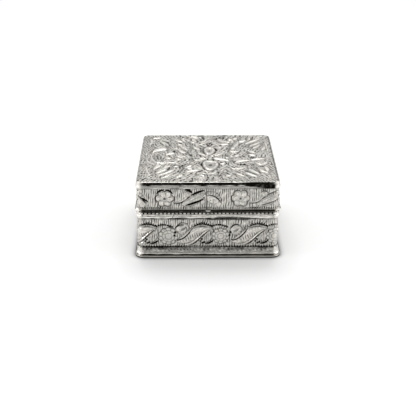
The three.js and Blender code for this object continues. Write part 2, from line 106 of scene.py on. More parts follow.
def curve(*control, steps=18):
    """Points along a smooth curve led by its control points: the straight blends between each
    point and the next, blended again in the same way until one is left."""
    t = np.linspace(0, 1, steps)[:, None]
    points = [np.array(p, float) for p in control]
    while len(points) > 1:
        points = [a * (1 - t) + b * t for a, b in zip(points, points[1:])]
    return points[0]


def near(x, y, points):
    """Signed distance to a bent line, left of it positive, and the share of its length at which
    the nearest place lies: the least over its straight bits."""
    step = points[1:] - points[:-1]
    dx = x[:, None] - points[:-1, 0]
    dy = y[:, None] - points[:-1, 1]
    along = np.clip((dx * step[:, 0] + dy * step[:, 1]) / (step**2).sum(1), 0, 1)
    off_x = dx - along * step[:, 0]
    off_y = dy - along * step[:, 1]
    distance = np.hypot(off_x, off_y)
    nearest = distance.argmin(1)
    row = np.arange(len(x))
    side = np.sign(step[nearest, 0] * off_y[row, nearest] - step[nearest, 1] * off_x[row, nearest])
    return distance[row, nearest] * side, (nearest + along[row, nearest]) / len(step)


class Relief:
    """A chased surface, by places x and y in mm: the height raised or cut there, how dark it is,
    from tarnish and in places painted shade and reflection, and how much of the ground is left for
    the liner."""

    def __init__(self, x, y):
        self.x = x
        self.y = y
        self.height = np.zeros_like(x)
        self.dark = np.zeros_like(x)
        self.ground = np.ones_like(x)

    def around(self, points, margin):
        """Indices of the places within margin of the points."""
        low = np.min(points, 0) - margin
        high = np.max(points, 0) + margin
        inside = (self.x > low[0]) & (self.x < high[0]) & (self.y > low[1]) & (self.y < high[1])
        return np.nonzero(inside)[0]

    def disc(self, centre, reach):
        """Indices of the places near a centre, their offsets from it and how far they are."""
        at = self.around([centre], reach)
        dx = self.x[at] - centre[0]
        dy = self.y[at] - centre[1]
        return at, dx, dy, np.hypot(dx, dy)

    def lift(self, at, height, cover):
        """Takes the place of what is there, as far as cover says, and clears the ground."""
        self.height[at] = self.height[at] * (1 - cover) + height * cover
        self.dark[at] *= 1 - cover
        self.ground[at] *= 1 - cover

    def cut(self, at, groove, depth, dark):
        """Sinks a groove, given as 0 to 1 across it, and darkens it."""
        self.height[at] -= depth * groove
        self.dark[at] = np.maximum(self.dark[at], dark * groove)

    def film(self, low, high, level, mottle=0.0):
        """Leaves tarnish on all of it: low on the ground, high at and over a level, and blotched
        by a mottle."""
        share = np.clip(self.height / level, 0, 1)
        blotch = mottle * (uneven(self.x, self.y, 1.5, 61) + uneven(self.x, self.y, 0.8, 62))
        self.dark = np.maximum(self.dark, low + (high - low) * share + blotch)


def stroke(relief, points, width, depth, dark, blunt=0.35, dashes=0):
    """A tapered cut along a line: its half width swells as a power of the sine of the share of
    the length. Struck as dashes, it is broken by a wave that slants off the line."""
    at = relief.around(points, 2 * width)
    distance, share = near(relief.x[at], relief.y[at], points)
    half = width / 2 * np.sin(np.pi * np.clip(share, 0.02, 0.98)) ** blunt
    mark = fade(np.abs(distance) - half, 0.18)
    if dashes:
        mark *= fade(-0.2 - np.cos(2 * np.pi * (share * dashes + 0.5 * distance)), 1.0)
    relief.cut(at, mark, depth, dark)


def hatch(relief, feet, tips, width, depth, dark):
    """A row of short straight cuts, from the feet to the tips, each given as all x and all y."""
    for foot, tip in zip(np.transpose(feet), np.transpose(tips)):
        stroke(relief, curve(foot, tip, steps=3), width, depth, dark)


def ridge(relief, points, width, height):
    """A raised wire line: a round back across, thinning to its ends."""
    at = relief.around(points, 2 * width)
    distance, share = near(relief.x[at], relief.y[at], points)
    half = width / 2 * np.sin(np.pi * np.clip(share, 0.05, 0.95)) ** 0.4
    relief.lift(at, height * dome(distance / half), fade(np.abs(distance) - half, 0.15))


def chase(relief, rows):
    """Works a table in turn: each row is the tool, the control points of its line, and sizes."""
    for tool, points, *sizes in rows:
        tool(relief, curve(*points), *sizes)


def leaf(relief, points, width, height, dark_left, dark_right, veins, fat=0.7, halo=0.0):
    """A raised blade along a spine: its half width swells as the sine of a power of the share of
    the length. Across, it is a round back with a sunk midrib, and cross cuts slant off the rib."""
    at = relief.around(points, width + 1)
    distance, share = near(relief.x[at], relief.y[at], points)
    off = np.abs(distance)
    half = width / 2 * np.sin(np.pi * np.clip(share, 0.001, 0.999) ** fat) ** 0.8 + 0.05
    across = np.clip(off / half, 0, 1)
    length = np.hypot(*np.diff(points, axis=0).T).sum()
    slant = (share * length - off * 0.9) / veins
    back = dome(across) * (1 + 0.16 * np.sin(2 * np.pi * slant) * (across > 0.12))
    relief.lift(at, height * back, fade(off - half, 0.16))
    relief.cut(at, bell(distance, 0.13) * (across < 0.9), 0.12, 0.25)
    relief.cut(at, bell(off - half - 0.12, 0.17), 0.12, np.where(distance > 0, dark_left, dark_right))
    if halo:
        relief.cut(at, bell(off - half - 0.8, 0.26), 0.1, halo)


def rosette(relief, centre, radius):
    """A round flower seen from above: a low dome with a scalloped outline, two ring lines, and
    short cuts between the petals. The outline is the radius less a wave of the angle."""
    at, dx, dy, r = relief.disc(centre, radius + 1)
    angle = np.arctan2(dy, dx)
    wave = np.abs(np.sin(angle * 5))
    outline = radius * (0.86 + 0.14 * wave)
    cover = fade(r - outline, 0.2)
    relief.lift(at, 0.36 * np.sqrt(np.clip(1 - 0.7 * (r / outline) ** 2, 0, 1)), cover)
    relief.cut(at, cover, 0.0, 0.18)
    outer_ring = 0.66 * radius
    relief.cut(at, bell(r - outer_ring, 0.15), 0.1, 0.85)
    relief.cut(at, bell(r - 0.36 * radius, 0.15), 0.1, 0.8)
    relief.cut(at, bell(wave, 0.3) * fade(outer_ring - r, 0.3) * cover, 0.1, 0.85)
    between_rings = fade(r - 0.62 * radius, 0.2) * fade(0.4 * radius - r, 0.2)
    relief.cut(at, bell(np.cos(angle * 7) - 1, 0.5) * between_rings, 0.05, 0.45)
    # The outline is painted darker along its upper side: a painted reflection of the dark room on the slopes
    # that face up
    painted_dark_top = np.clip(np.sin(angle) * 1.6 - 0.2, 0, 1)
    relief.cut(at, bell(r - outline - 0.12, 0.2), 0.14, 0.78 + 0.17 * painted_dark_top)


def bud(relief, centre, radius, height):
    """A round bud: a dome crossed by slanted cuts on one half, under a dark arc painted darkest
    at the top, a painted reflection of the dark room on the slope that faces up.
    """
    at, dx, dy, r = relief.disc(centre, radius + 1)
    slant = 2 * np.pi * (dx - 0.6 * dy) / 0.62
    cuts = 0.12 * np.sin(slant) * (dx > 0)
    relief.lift(at, height * (dome(r / radius) + cuts), fade(r - radius, 0.16))
    hatched = np.cos(slant) * (dx > 0) * fade(r - 0.85 * radius, 0.2)
    relief.cut(at, np.clip(hatched, 0, 1), 0.0, 0.45)
    relief.cut(at, bell(r - 0.62 * radius, 0.14) * (dx < 0.2), 0.08, 0.45)
    # The outline is painted darkest along the top: a painted reflection of the dark room
    painted_dark_top = np.clip((dy / np.maximum(r, 0.01) - 0.35) * 2, 0, 1)
    relief.cut(at, bell(r - radius - 0.1, 0.2), 0.14, 0.4 + 0.6 * painted_dark_top)


def dots(relief, points, radius, depth, dark):
    """Round punch marks, with a soft edge round each point."""
    at = relief.around(points, 2 * radius)
    x, y = np.transpose(points)
    gap = np.hypot(relief.x[at, None] - x, relief.y[at, None] - y).min(1)
    relief.cut(at, fade(gap - radius, 0.2), depth, dark)


def teeth(relief, level, pitch, width, height, depth, dark):
    """A row of pointed punch marks along a line: each narrows in step with its height. How dark
    they are may change along the line."""
    rise = (relief.y - level) / height
    offset = np.abs((relief.x / pitch + 0.5) % 1 - 0.5) * pitch
    mark = fade(offset - width / 2 * (1 - rise), 0.15) * (rise > 0) * (rise < 1)
    relief.cut(everywhere, mark, depth, dark)


def uneven(x, y, size, seed):
    """Slow hand-made unevenness from -1 to 1: a sum of sines of the place over a size in mm, in
    directions and phases drawn from a seed."""
    random = np.random.default_rng(seed)
    total = np.zeros_like(x)
    for _ in range(7):
        heading, phase = random.uniform(0, 2 * np.pi, 2)
        pace = 2 * np.pi / (size * random.uniform(0.6, 1.7))
        total += np.sin((x * np.cos(heading) + y * np.sin(heading)) * pace + phase)
    return total / 4


# The real lines are about 0.5 mm apart, and are drawn wider apart so that they show
ground_pitch = 0.9
ground_depth = 0.12


def lined_ground(relief, dent_seed, spot_seed):
    """The liner's upright cuts on the ground: a wave whose spacing and depth wander a little, as
    they do by hand. Small dents and dark spots lie over everything."""
    x, y = relief.x, relief.y
    wander = 0.35 * uneven(x, y, 6.0, 3)
    wave = 0.5 - 0.5 * np.cos(2 * np.pi * (x / ground_pitch + wander))
    bite = np.clip(0.78 + 0.6 * uneven(x, y * 0.5, 1.6, 5), 0.1, 1) * relief.ground
    relief.height += 0.03 * uneven(x, y, 1.1, dent_seed) - ground_depth * wave**2 * bite
    spots = 0.5 * np.clip(uneven(x, y, 0.9, spot_seed) - 0.2, 0, 1)
    relief.dark = np.maximum.reduce([relief.dark, wave**1.5 * bite, spots])


# Ten repeats go round the box. No two flowers sit quite alike, and each strays by so many mm
base_units = 10
base_pitch = perimeter / base_units
base_first = -2.0
base_strays = [0.0, -0.5, 0.6, 0.2, -0.6, 0.4, 0.9, -0.3, 0.5, 1.3]
chased_low = 4.6
chased_high = 18.1


def base_unit(relief, stray):
    """One repeat of the base wall's scroll: the leaf that rises and curls over, with its lower
    lobe, then a round flower and a bud, which stray a little. Places in mm from the leaf's crest
    and the foot."""
    spine = curve((-11.6, 7.5), (-4.8, 7.2), (-4.2, 14.4), (3.4, 13.5))
    leaf(relief, spine, 4.7, 0.42, 0.55, 0.45, 0.95, fat=0.85)
    k = np.arange(9)
    sag = 0.05 * k * k
    feet = (-7.2 + 0.98 * k, 7.6 + 0.62 * k - sag)
    hatch(relief, feet, (-7.6 + 0.95 * k, 9.2 + 0.72 * k - sag), 0.34, 0.1, 0.85)
    chase(relief, (
        (ridge, ((-9.6, 8.9), (-5.8, 9.6), (-4.6, 15.2), (1.0, 15.1), (4.6, 13.6)), 0.55, 0.55),
        (stroke, ((-4.6, 13.0), (-2.0, 14.8), (0.6, 14.6), (3.0, 13.7)), 0.35, 0.16, 0.75),
        (ridge, ((-7.6, 5.7), (-2.4, 6.9), (-1.2, 11.2), (3.0, 13.2)), 0.6, 0.6),
        (stroke, ((-5.6, 5.6), (-1.8, 6.8), (-0.6, 10.8), (3.2, 12.8)), 0.42, 0.2, 1.0),
        (ridge, ((-4.6, 5.6), (-0.8, 6.8), (0.1, 10.4), (3.2, 12.4)), 0.42, 0.4),
        (stroke, ((-4.2, 14.2), (-1.6, 16.5), (1.8, 16.1), (3.9, 14.2)), 1.25, 0.24, 1.0, 0.35, 9),
        (stroke, ((-3.8, 14.2), (-1.6, 16.0), (1.6, 15.7), (3.9, 14.0)), 0.66, 0.22, 1.0),
        (stroke, ((-11.8, 7.9), (-8.6, 8.1), (-6.8, 10.2), (-4.6, 13.4)), 0.62, 0.2, 1.0),
        (stroke, ((3.4, 14.2), (5.4, 10.8), (4.0, 7.4), (1.0, 6.9)), 0.36, 0.14, 0.8),
        (stroke, ((0.8, 6.3), (2.8, 6.3), (4.3, 7.8)), 0.95, 0.24, 0.95),
    ))
    k = np.arange(6)
    feet = (-9.0 + 0.9 * k, 9.3 + 0.95 * k)
    hatch(relief, feet, (-9.5 + 0.9 * k, 10.2 + 0.95 * k), 0.4, 0.14, 0.8)
    dots(relief, [(-1.2, 7.5), (-0.3, 6.6), (-0.6, 8.4), (0.5, 6.9)], 0.5, 0.22, 1.0)
    rosette(relief, (7.4 + stray, 9.9), 3.7 + 0.3 * stray)
    k = np.arange(8)
    dots(relief, np.transpose([3.6 + 0.95 * k, 14.5 + 0.7 * np.sin(k * 0.52)]), 0.44, 0.2, 1.0)
    aside = 0.7 * stray
    above = 0.5 * stray
    bud(relief, (14.0 + aside, 12.6 + above), 2.35 + 0.3 * stray, 0.42)
    k = np.arange(4)
    feet = (13.0 + 0.5 * k + aside, 11.4 + 0.3 * k + above)
    hatch(relief, feet, (13.6 + 0.55 * k + aside, 13.2 + 0.2 * k + above), 0.34, 0.1, 0.75)
    dots(relief, [(11.6, 11.6), (11.2, 10.2)], 0.52, 0.28, 1.0)
    chase(relief, (
        (stroke, ((11.6, 13.2), (12.6, 15.6), (15.4, 15.2)), 0.6, 0.22, 1.0),
        (stroke, ((16.0, 14.6), (16.9, 13.4), (16.2, 11.6)), 0.36, 0.14, 0.85),
        (stroke, ((16.7, 15.2), (17.8, 13.8), (17.2, 12.2)), 0.36, 0.12, 0.7),
    ))
    k = np.arange(7)
    arch = np.sin(k / 6 * np.pi)
    hatch(relief, (-3.8 + 1.1 * k, 15.8 + 0.45 * arch), (-4.3 + 1.25 * k, 17.0 + 0.3 * arch), 0.36, 0.12, 0.7)


def base_ornament(along, height):
    """The base wall's relief: the unit repeated all round, with the lines of both borders. The
    line under the rim is deep at the right and faint at the left, the one at the foot faint at
    the left and in the middle, as they are worn."""
    relief = Relief(along, height)
    relief.height += 0.05
    for unit in range(-1, base_units + 1):
        relief.x = (along - base_first) % perimeter - unit * base_pitch
        base_unit(relief, base_strays[unit % base_units])
    relief.x = along
    deep = fade(np.abs(along - 8.5) - 9.0, 3.0) + 0.6 * fade(np.abs(along + 12.5) - 2.5, 1.5)
    relief.cut(everywhere, bell(height - 17.75 + 0.1 * deep, 0.18 + 0.14 * deep), 0.16, 0.72 + 0.28 * deep)
    lined_ground(relief, 8, 7)
    relief.film(0.2, 0.1, 0.5, 0.16)
    faint = 0.55 * bell(along + 4.0, 7.0)
    teeth(relief, chased_low, 1.15, 1.0, 0.95, 0.24, 1.0 - faint)
    faint += 0.4 * fade(4.0 - along, 3.0)
    relief.cut(everywhere, bell(height - chased_low - 0.2, 0.22), 0.2, 1.0 - faint)
    middle = (chased_low + chased_high) / 2
    relief.height *= fade(np.abs(height - middle) - (chased_high - chased_low) / 2 + 0.15, 0.3)
    return relief


wall_columns = 1172


def wall_mesh(name, levels, ornament, inner_levels):
    """A closed strip round the box: the outline carried up the levels on the outside, moved out
    by the relief, and back down inside at the sheet's thickness. At the back the strip is
    hollowed by the round channel of the hinge, and at the corners its tarnish is worn thin and
    its colour painted lighter, a painted highlight where the corners turn to the side lamps."""
    along = (np.arange(wall_columns) / wall_columns - 0.5) * perimeter
    places, out, local, side = wall_places(along)
    shape = (wall_columns, len(levels))
    grid_along = np.broadcast_to(along[:, None], shape)
    grid_level = np.broadcast_to(levels, shape)
    relief = ornament(grid_along.ravel(), grid_level.ravel())
    drop = np.abs(grid_level - hinge_z)
    hollow = hinge_y - half_side - np.sqrt(np.clip(channel_radius**2 - drop**2, 0, None))
    at_back = (side == 2) & (np.abs(local) < straight / 2)
    hollowed = at_back[:, None] & (drop < channel_radius)
    offset = relief.height.reshape(shape)
    offset = np.where(hollowed, np.minimum(offset, hollow), offset)
    outer = np.concatenate([places[:, None] + out[:, None] * offset[..., None], grid_level[..., None]], -1)
    inside = places[:, None] - out[:, None] * sheet + np.zeros((1, len(inner_levels), 1))
    inner = np.concatenate([inside, np.broadcast_to(inner_levels, inside.shape[:2])[..., None]], -1)
    # Corners painted lighter: worn tarnish, and a painted highlight where they turn to the side lamps
    corner_wear_and_glint = bell(np.abs(local) - side_length / 2, 1.6)[:, None]
    dark = np.zeros((wall_columns, len(levels) + len(inner_levels)))
    dark[:, : len(levels)] = relief.dark.reshape(shape) * (1 - 0.3 * corner_wear_and_glint)
    return grid_piece(name, np.concatenate([outer, inner], 1), dark)


def grid_piece(name, vertices, dark, whole=True):
    """A mesh from a grid of places in mm, by columns and rows. The rows close on themselves, and
    the columns too where the piece is whole. Where it isn't, its two ends are capped."""
    columns, rows = vertices.shape[:2]
    index = np.arange(columns * rows).reshape(columns, rows)
    ahead = np.roll(index, -1, 0)
    corners = np.stack([index, ahead, np.roll(ahead, -1, 1), np.roll(index, -1, 1)], -1)
    faces = corners[: columns if whole else columns - 1].reshape(-1, 4).tolist()
    if not whole:
        faces += [index[0].tolist(), index[-1, ::-1].tolist()]
    return mesh_piece(name, vertices.reshape(-1, 3), faces, dark)


def mesh_piece(name, vertices, faces, dark=None):
    """A mesh object from places in mm and faces, smooth shaded, with its darkness from 0 to 1:
    tarnish, and in places painted shade, reflection and highlight.
    """
    mesh = bpy.data.meshes.new(name)
    mesh.from_pydata((vertices * mm).tolist(), [], faces)
    values = np.zeros(len(vertices)) if dark is None else np.clip(dark, 0, 1).ravel()
    mesh.attributes.new("dark", "FLOAT", "POINT").data.foreach_set("value", values.astype(np.float32))
    mesh.polygons.foreach_set("use_smooth", np.ones(len(mesh.polygons), bool))
    mesh.validate()
    piece = bpy.data.objects.new(name, mesh)
    bpy.context.scene.collection.objects.link(piece)
    return piece


def linear(code):
    """An sRGB hex colour as the linear colour that a shader takes."""
    share = np.array([int(code[i : i + 2], 16) for i in (1, 3, 5)]) / 255
    low = share / 12.92
    high = ((share + 0.055) / 1.055) ** 2.4
    return (*np.where(share < 0.04045, low, high).tolist(), 1.0)


def add(tree, kind, settings=(), links=()):
    """Adds a node with its settings, by attribute or socket, and links its sockets."""
    node = tree.nodes.new(kind)
    for key, value in dict(settings).items():
        if isinstance(key, str) and hasattr(node, key):
            setattr(node, key, value)
        else:
            node.inputs[key].default_value = value
    for key, socket in dict(links).items():
        tree.links.new(socket, node.inputs[key])
    return node


def silver(name, bright, tarnish_and_shade, roughness, wear):
    """Sterling silver: a metal shader between its clean colour and its tarnish colour, which lies
    where the piece's dark attribute says (tarnish, and in places painted shade and reflection),
    and as a thin film in clouds of 3 mm. The fine dents of use are drawn 0.4 mm wide, about four
    times as wide as they are, so that they show."""
    material = bpy.data.materials.new(name)
    material.use_nodes = True
    tree = material.node_tree
    shader = tree.nodes["Principled BSDF"]
    shader.inputs["Metallic"].default_value = 1.0
    place = add(tree, "ShaderNodeTexCoord").outputs["Object"]
    cut = add(tree, "ShaderNodeAttribute", {"attribute_name": "dark"})
    cloud = add(
        tree, "ShaderNodeTexNoise", {"Scale": 1 / (3 * mm), "Detail": 5.0, "Roughness": 0.6},
        {"Vector": place},
    )
    dents = add(tree, "ShaderNodeTexNoise", {"Scale": 1 / (0.4 * mm), "Detail": 2.0}, {"Vector": place})
    film = add(
        tree, "ShaderNodeMapRange",
        {"From Min": 0.35, "From Max": 0.75, "To Min": 0.0, "To Max": wear},
        {"Value": cloud.outputs["Fac"]},
    )
    amount = add(
        tree, "ShaderNodeMath", {"operation": "ADD", "use_clamp": True},
        {0: film.outputs["Result"], 1: cut.outputs["Fac"]},
    ).outputs["Value"]
    colour = add(
        tree, "ShaderNodeMix", {"data_type": "RGBA", 6: linear(bright), 7: linear(tarnish_and_shade)}, {0: amount}
    )
    rough = add(tree, "ShaderNodeMapRange", {"To Min": roughness, "To Max": 0.7}, {"Value": amount})
    bump = add(
        tree, "ShaderNodeBump", {"Strength": 0.25, "Distance": 0.05 * mm},
        {"Height": dents.outputs["Fac"]},
    )
    tree.links.new(colour.outputs[2], shader.inputs["Base Color"])
    tree.links.new(rough.outputs["Result"], shader.inputs["Roughness"])
    tree.links.new(bump.outputs["Normal"], shader.inputs["Normal"])
    return material


# Chased by hand and worn: a soft shine on what is raised, black in what is cut
chased_silver = silver("chased sterling silver", "#EAE7E0", "#15130F", 0.2, 0.16)
# Levels of the grid: the lower edge, the chased field, the rows round the hinge's channel, the rim
wall_foot, wall_rim = base_box[:, 2]
wall_rows = np.concatenate([
    [wall_foot],
    np.linspace(chased_low - 0.2, chased_high, 64),
    hinge_z - channel_radius * np.array([0.7, 0.6, 0.48, 0.35, 0.22]),
    [wall_rim],
])
base_wall = wall_mesh("base_wall", wall_rows, base_ornament, np.array([wall_rim, 12.0, wall_foot]))
base_wall.data.materials.append(chased_silver)
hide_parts("base_band")
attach(base_wall, "base")

# Base plate
# The bottom plate, cut from sheet. Its edge stands out all round and is rounded over by filing.
# It is planished and left plain, which gives it a greyer, duller shine.
plain_silver = silver("plain sterling silver", "#C6C3BC", "#15130F", 0.3, 0.25)
film_step = 0.05


def finished_copy(name, node, body, softened, material, film=(0.0, 0.0, 0.0)):
    """A merged copy of a plain solid, shaded smooth but for its edges, which are softened by a
    width in mm. Stands for the node and moves with its body. The film is the darkness below a
    level, which is painted shade where it is used, the tarnish above it, and that level, where
    the faces are cut so that it can change."""
    below, above, level = film
    solid = bpy.data.objects[node]
    piece = bpy.data.objects.new(name, solid.data.copy())
    bpy.context.scene.collection.objects.link(piece)
    shape = bmesh.new()
    shape.from_mesh(piece.data)
    bmesh.ops.remove_doubles(shape, verts=shape.verts, dist=0.001 * mm)
    bmesh.ops.dissolve_limit(shape, angle_limit=np.radians(1), verts=shape.verts, edges=shape.edges)
    for line in (level - film_step, level + film_step):
        everything = shape.verts[:] + shape.edges[:] + shape.faces[:]
        bmesh.ops.bisect_plane(shape, geom=everything, plane_co=(0, 0, line * mm), plane_no=(0, 0, 1))
    shape.to_mesh(piece.data)
    shape.free()
    piece.data.polygons.foreach_set("use_smooth", np.ones(len(piece.data.polygons), bool))
    bevel = piece.modifiers.new("softened edges", "BEVEL")
    bevel.width = softened * mm
    bevel.segments = 2
    bevel.limit_method = "ANGLE"
    bevel.angle_limit = np.radians(35)
    bevel.harden_normals = True
    spots = np.zeros(3 * len(piece.data.vertices))
    piece.data.vertices.foreach_get("co", spots)
    height = spots[2::3] / mm
    dark = above + (below - above) * fade(height - level, 2 * film_step)
    piece.data.attributes.new("dark", "FLOAT", "POINT").data.foreach_set("value", dark.astype(np.float32))
    piece.data.materials.clear()
    piece.data.materials.append(material)
    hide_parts(node)
    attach(piece, body)
    return piece


# The plate is painted dark below 0.48 mm: a painted contact shadow where it stands on the paper
finished_copy("bottom_plate", "base_plate", "base", 0.05, plain_silver, (1.0, 0.05, 0.48))

# Foot moulding
# Drawn from a strip and soldered over the plate: a quirk, a nose, and a hollow that rises to a
# fillet under the chasing. Polish never reaches into it, so it stays grey. The grey is painted
# darker towards the top as shade under the chasing, the quirk is painted black as shade, and the
# corners are worn and painted bright.
foot_box = box_in_mm("foot_moulding")
foot_low, foot_high = foot_box[:, 2]
foot_out = foot_box[1][0] - half_side
# Drawn through a plate and handled: the brightest silver of the box, with sharp highlights
bright_silver = silver("polished sterling silver", "#F0EDE6", "#14120E", 0.18, 0.14)
corner_loss = 0.07
file_mark = 0.95


def rounded(points, radius, steps=4):
    """A closed profile whose corners are cut by short curves: for each corner, a place before it,
    the corner and a place after it, blended by the squares and the product of t and 1 - t."""
    points = np.array(points, float)
    t = np.linspace(0, 1, steps)[None, :, None]
    legs = []
    for other in (np.roll(points, 1, 0), np.roll(points, -1, 0)):
        leg = other - points
        length = np.hypot(*leg.T)[:, None]
        legs.append((points + leg * np.minimum(radius / length, 0.45))[:, None])
    corners = legs[0] * (1 - t) ** 2 + points[:, None] * 2 * t * (1 - t) + legs[1] * t**2
    return corners.reshape(-1, 2)


def moulding(name, profile, whole, columns, tarnish_and_shade, dents, seed, cut=None):
    """A drawn length bent round the wall: the closed profile, in mm out from the wall and up, is
    carried along the outline, and moved along its own normal by small dents. Its corners are
    filed, and their tarnish is worn away and painted lighter as a painted highlight, with a dark
    band painted in beside them. A length that isn't whole runs on three sides and round the back
    corners to the hinge."""
    reach = 2 * side_length - hinge_half
    along = np.arange(columns) / columns * perimeter if whole else np.linspace(-reach, reach, columns)
    along = np.where(along > perimeter / 2, along - perimeter, along)
    places, out, local, _ = wall_places(along)
    ahead = np.roll(profile, -1, 0) - np.roll(profile, 1, 0)
    normal = np.stack([ahead[:, 1], -ahead[:, 0]], -1) / np.hypot(*ahead.T)[:, None]
    free = np.clip(profile[:, 0] / 0.15, 0, 1)
    grid_along = np.repeat(along[:, None], len(profile), 1)
    grid_out = np.broadcast_to(profile[:, 0], grid_along.shape)
    grid_up = np.broadcast_to(profile[:, 1], grid_along.shape)
    shift = dents * uneven(grid_along * 0.4, grid_up + grid_out, 1.1, seed)
    if cut is not None:
        shift = shift - cut(grid_along, grid_up)
    from_corner = (np.abs(local) - side_length / 2)[:, None]
    filed = 1 + np.cos(2 * np.pi * (grid_along * 0.75 + grid_up) / file_mark)
    shift = shift - corner_loss * bell(from_corner, 1.5) * filed
    spot = profile[None] + normal[None] * (shift * free)[..., None]
    vertices = np.concatenate([places[:, None] + out[:, None] * spot[..., :1], spot[..., 1:]], -1)
    # Corners cleared of dark: worn tarnish, and a painted highlight where they turn to the side lamps
    dark = np.clip(tarnish_and_shade(grid_along, grid_out, grid_up), 0, 1) * (1 - 0.9 * bell(from_corner, 1.3, 4))
    # A dark band painted just inside each corner, broken in patches
    beside = bell(from_corner + 1.95 + 0.4 * np.sin(7 * grid_up), 0.35)
    band_patchiness = np.clip(0.3 + 0.9 * uneven(grid_along, grid_up, 1.4, seed + 60), 0, 1)
    dark = np.maximum(dark, 0.85 * beside * band_patchiness)
    return grid_piece(name, vertices, dark, whole)


def foot_tarnish_and_shade(along, out, up):
    """Grey in the hollow, painted darker towards the top as shade, with a lighter line painted just
    above the nose as a highlight; painted black in the quirk over the plate as shade; black in a
    line of marks up the hollow, and dark along the fillet, but for the middle of the front."""
    level = up - foot_low
    rise = np.clip((level - 1.0) / (foot_high - foot_low - 1.0), 0, 1)
    clouds = 0.22 * uneven(along * 0.3, up, 2.2, 31) + 0.2 * uneven(along * 0.6, up, 0.8, 32)
    nose_film = 0.5 + 0.2 * uneven(along * 0.3, up, 3.0, 35)
    # The hollow is painted darker towards the top: painted shade under the chasing
    hollow = np.where(up < foot_low + 1.3, nose_film, 0.24 + 0.5 * rise + clouds)
    # A lighter line painted just above the nose: a painted highlight
    hollow = hollow - 0.42 * bell(level - 1.3, 0.2)
    # The quirk is painted black: painted shade in the recess over the plate
    quirk_shade = fade(level - 1.03 - 0.1 * uneven(along * 0.5, up * 0, 2.5, 36), 0.2)
    quirk_shade *= 1 - 0.85 * fade(level - 0.3, 0.1)
    drop = up - foot_high + 1.15
    marks = bell(drop, 0.42) * (0.5 - 0.5 * np.cos(2 * np.pi * (along + 0.5 * drop) / 1.36)) ** 1.6
    patches = 0.3 + 0.5 * uneven(along * 0.12, up, 1.4, 33) + 1.1 * bell(along + 10.5, 4.0)
    lowered = 0.3 * fade(4.0 - along, 3.0)
    fillet = bell(up - foot_high + 0.12 + lowered, 0.24) * (0.9 - 0.5 * bell(along + 4, 7))
    return np.maximum.reduce([hollow, quirk_shade, 1.2 * marks * np.clip(patches, 0, 1), fillet])


nose = foot_low + 0.66
neck = 0.3 * foot_out
hollow_line = curve((foot_out, nose + 0.25), (0.42 * foot_out, nose + 0.5), (neck, foot_high - 0.95))
foot_profile = rounded(np.concatenate([
    [(0, foot_low), (0.6 * foot_out, foot_low), (0.6 * foot_out, foot_low + 0.31), (foot_out, nose - 0.1)],
    hollow_line,
    [(neck, foot_high), (0, foot_high)],
]), 0.08, 3)
foot = moulding("foot", foot_profile, True, 900, foot_tarnish_and_shade, 0.05, 34)
foot.data.materials.append(bright_silver)
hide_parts("foot_moulding")
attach(foot, "base")

# Base rim moulding
# A half-round drawn wire soldered under the rim on three sides. It is handled most, and bright.
rim_box = box_in_mm("base_rim_moulding")


def half_round(box):
    """The profile of a half-round wire with a flat back: half an oval from its foot to its top."""
    low, high = box[:, 2]
    turn = np.linspace(-np.pi / 2, np.pi / 2, 15)
    out = (box[1][0] - half_side) * np.cos(turn)
    return np.stack([out, (low + high) / 2 + (high - low) / 2 * np.sin(turn)], -1)


def rim_tarnish_and_shade(along, out, up):
    """Painted black along its lower part where it meets the wall, as shade under the round, and
    black in the joint of two lengths at the left of the front.
    """
    level = up - rim_box[0][2]
    swell = 0.4 * bell(along - 8.8, 8.8, 4) + 0.3 * bell(along + 11.5, 3.0)
    strength = 0.7 + 0.4 * uneven(along, up, 5.0, 41) + 1.2 * swell
    # Painted shade under the round, stronger at the right
    under_shade = fade(level - 0.62 - swell, 0.24) * np.clip(strength, 0, 1)
    joint = 0.8 * bell(along + 15.4 - 0.5 * level, 0.2)
    stain = 0.16 * np.clip(uneven(along * 0.5, up, 1.3, 42), 0, 1)
    stain += 0.22 * np.clip(uneven(along, up * 2, 6.0, 44), 0, 1)
    return np.maximum.reduce([under_shade, joint, stain])


rim = moulding("rim", half_round(rim_box), False, 900, rim_tarnish_and_shade, 0.04, 43)
rim.data.materials.append(bright_silver)
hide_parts("base_rim_moulding")
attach(rim, "base")

# Beading
# A flat strip along the rim, filed into small beads by pointed notches, which hold black.
bead_box = box_in_mm("base_rim_beading")
bead_low, bead_high = bead_box[:, 2]
bead_pitch = 1.65
bead_out = bead_box[1][0] - half_side
bead_core = 0.06


def bead_notch(along, up):
    """How far the notches are there, 0 to 1: each is widest at its foot and narrows upwards."""
    rise = (up - bead_low) / (bead_high - bead_low)
    offset = np.abs((along / bead_pitch) % 1 - 0.5) * bead_pitch
    return fade(offset - 0.5 * (1 - 0.6 * rise), 0.2) * fade(0.12 - rise, 0.14)


def bead_tarnish_and_shade(along, out, up):
    """Black in the notches; painted black against the wall and along the top, as shade in the
    crease and where the lid comes down.
    """
    film = 0.42 + 0.2 * uneven(along * 0.3, up, 1.6, 52)
    # Painted shade along the top under the lid, and in the crease against the wall
    painted_dark_top = fade(bead_high - 0.26 - up, 0.16)
    return np.maximum.reduce([bead_notch(along, up), painted_dark_top, fade(out - 0.05, 0.1), film])


bead_levels = np.linspace(bead_low, bead_high, 10)
bead_round = bead_out * dome((bead_levels - bead_levels.mean()) / 0.72)
bead_profile = np.concatenate([[(0, bead_low)], np.stack([bead_round, bead_levels], -1), [(0, bead_high)]])
beading = moulding(
    "beading", bead_profile, False, 1320, bead_tarnish_and_shade, 0.015, 51,
    cut=lambda along, up: (bead_out - bead_core) * bead_notch(along, up),
)
beading.data.materials.append(bright_silver)
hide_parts("base_rim_beading")
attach(beading, "base")

# Bezel
# The inner strip that the lid closes over, cut from sheet, soldered inside the wall on three
# sides and chamfered.
finished_copy("inner_bezel", "bezel", "base", 0.04, plain_silver)

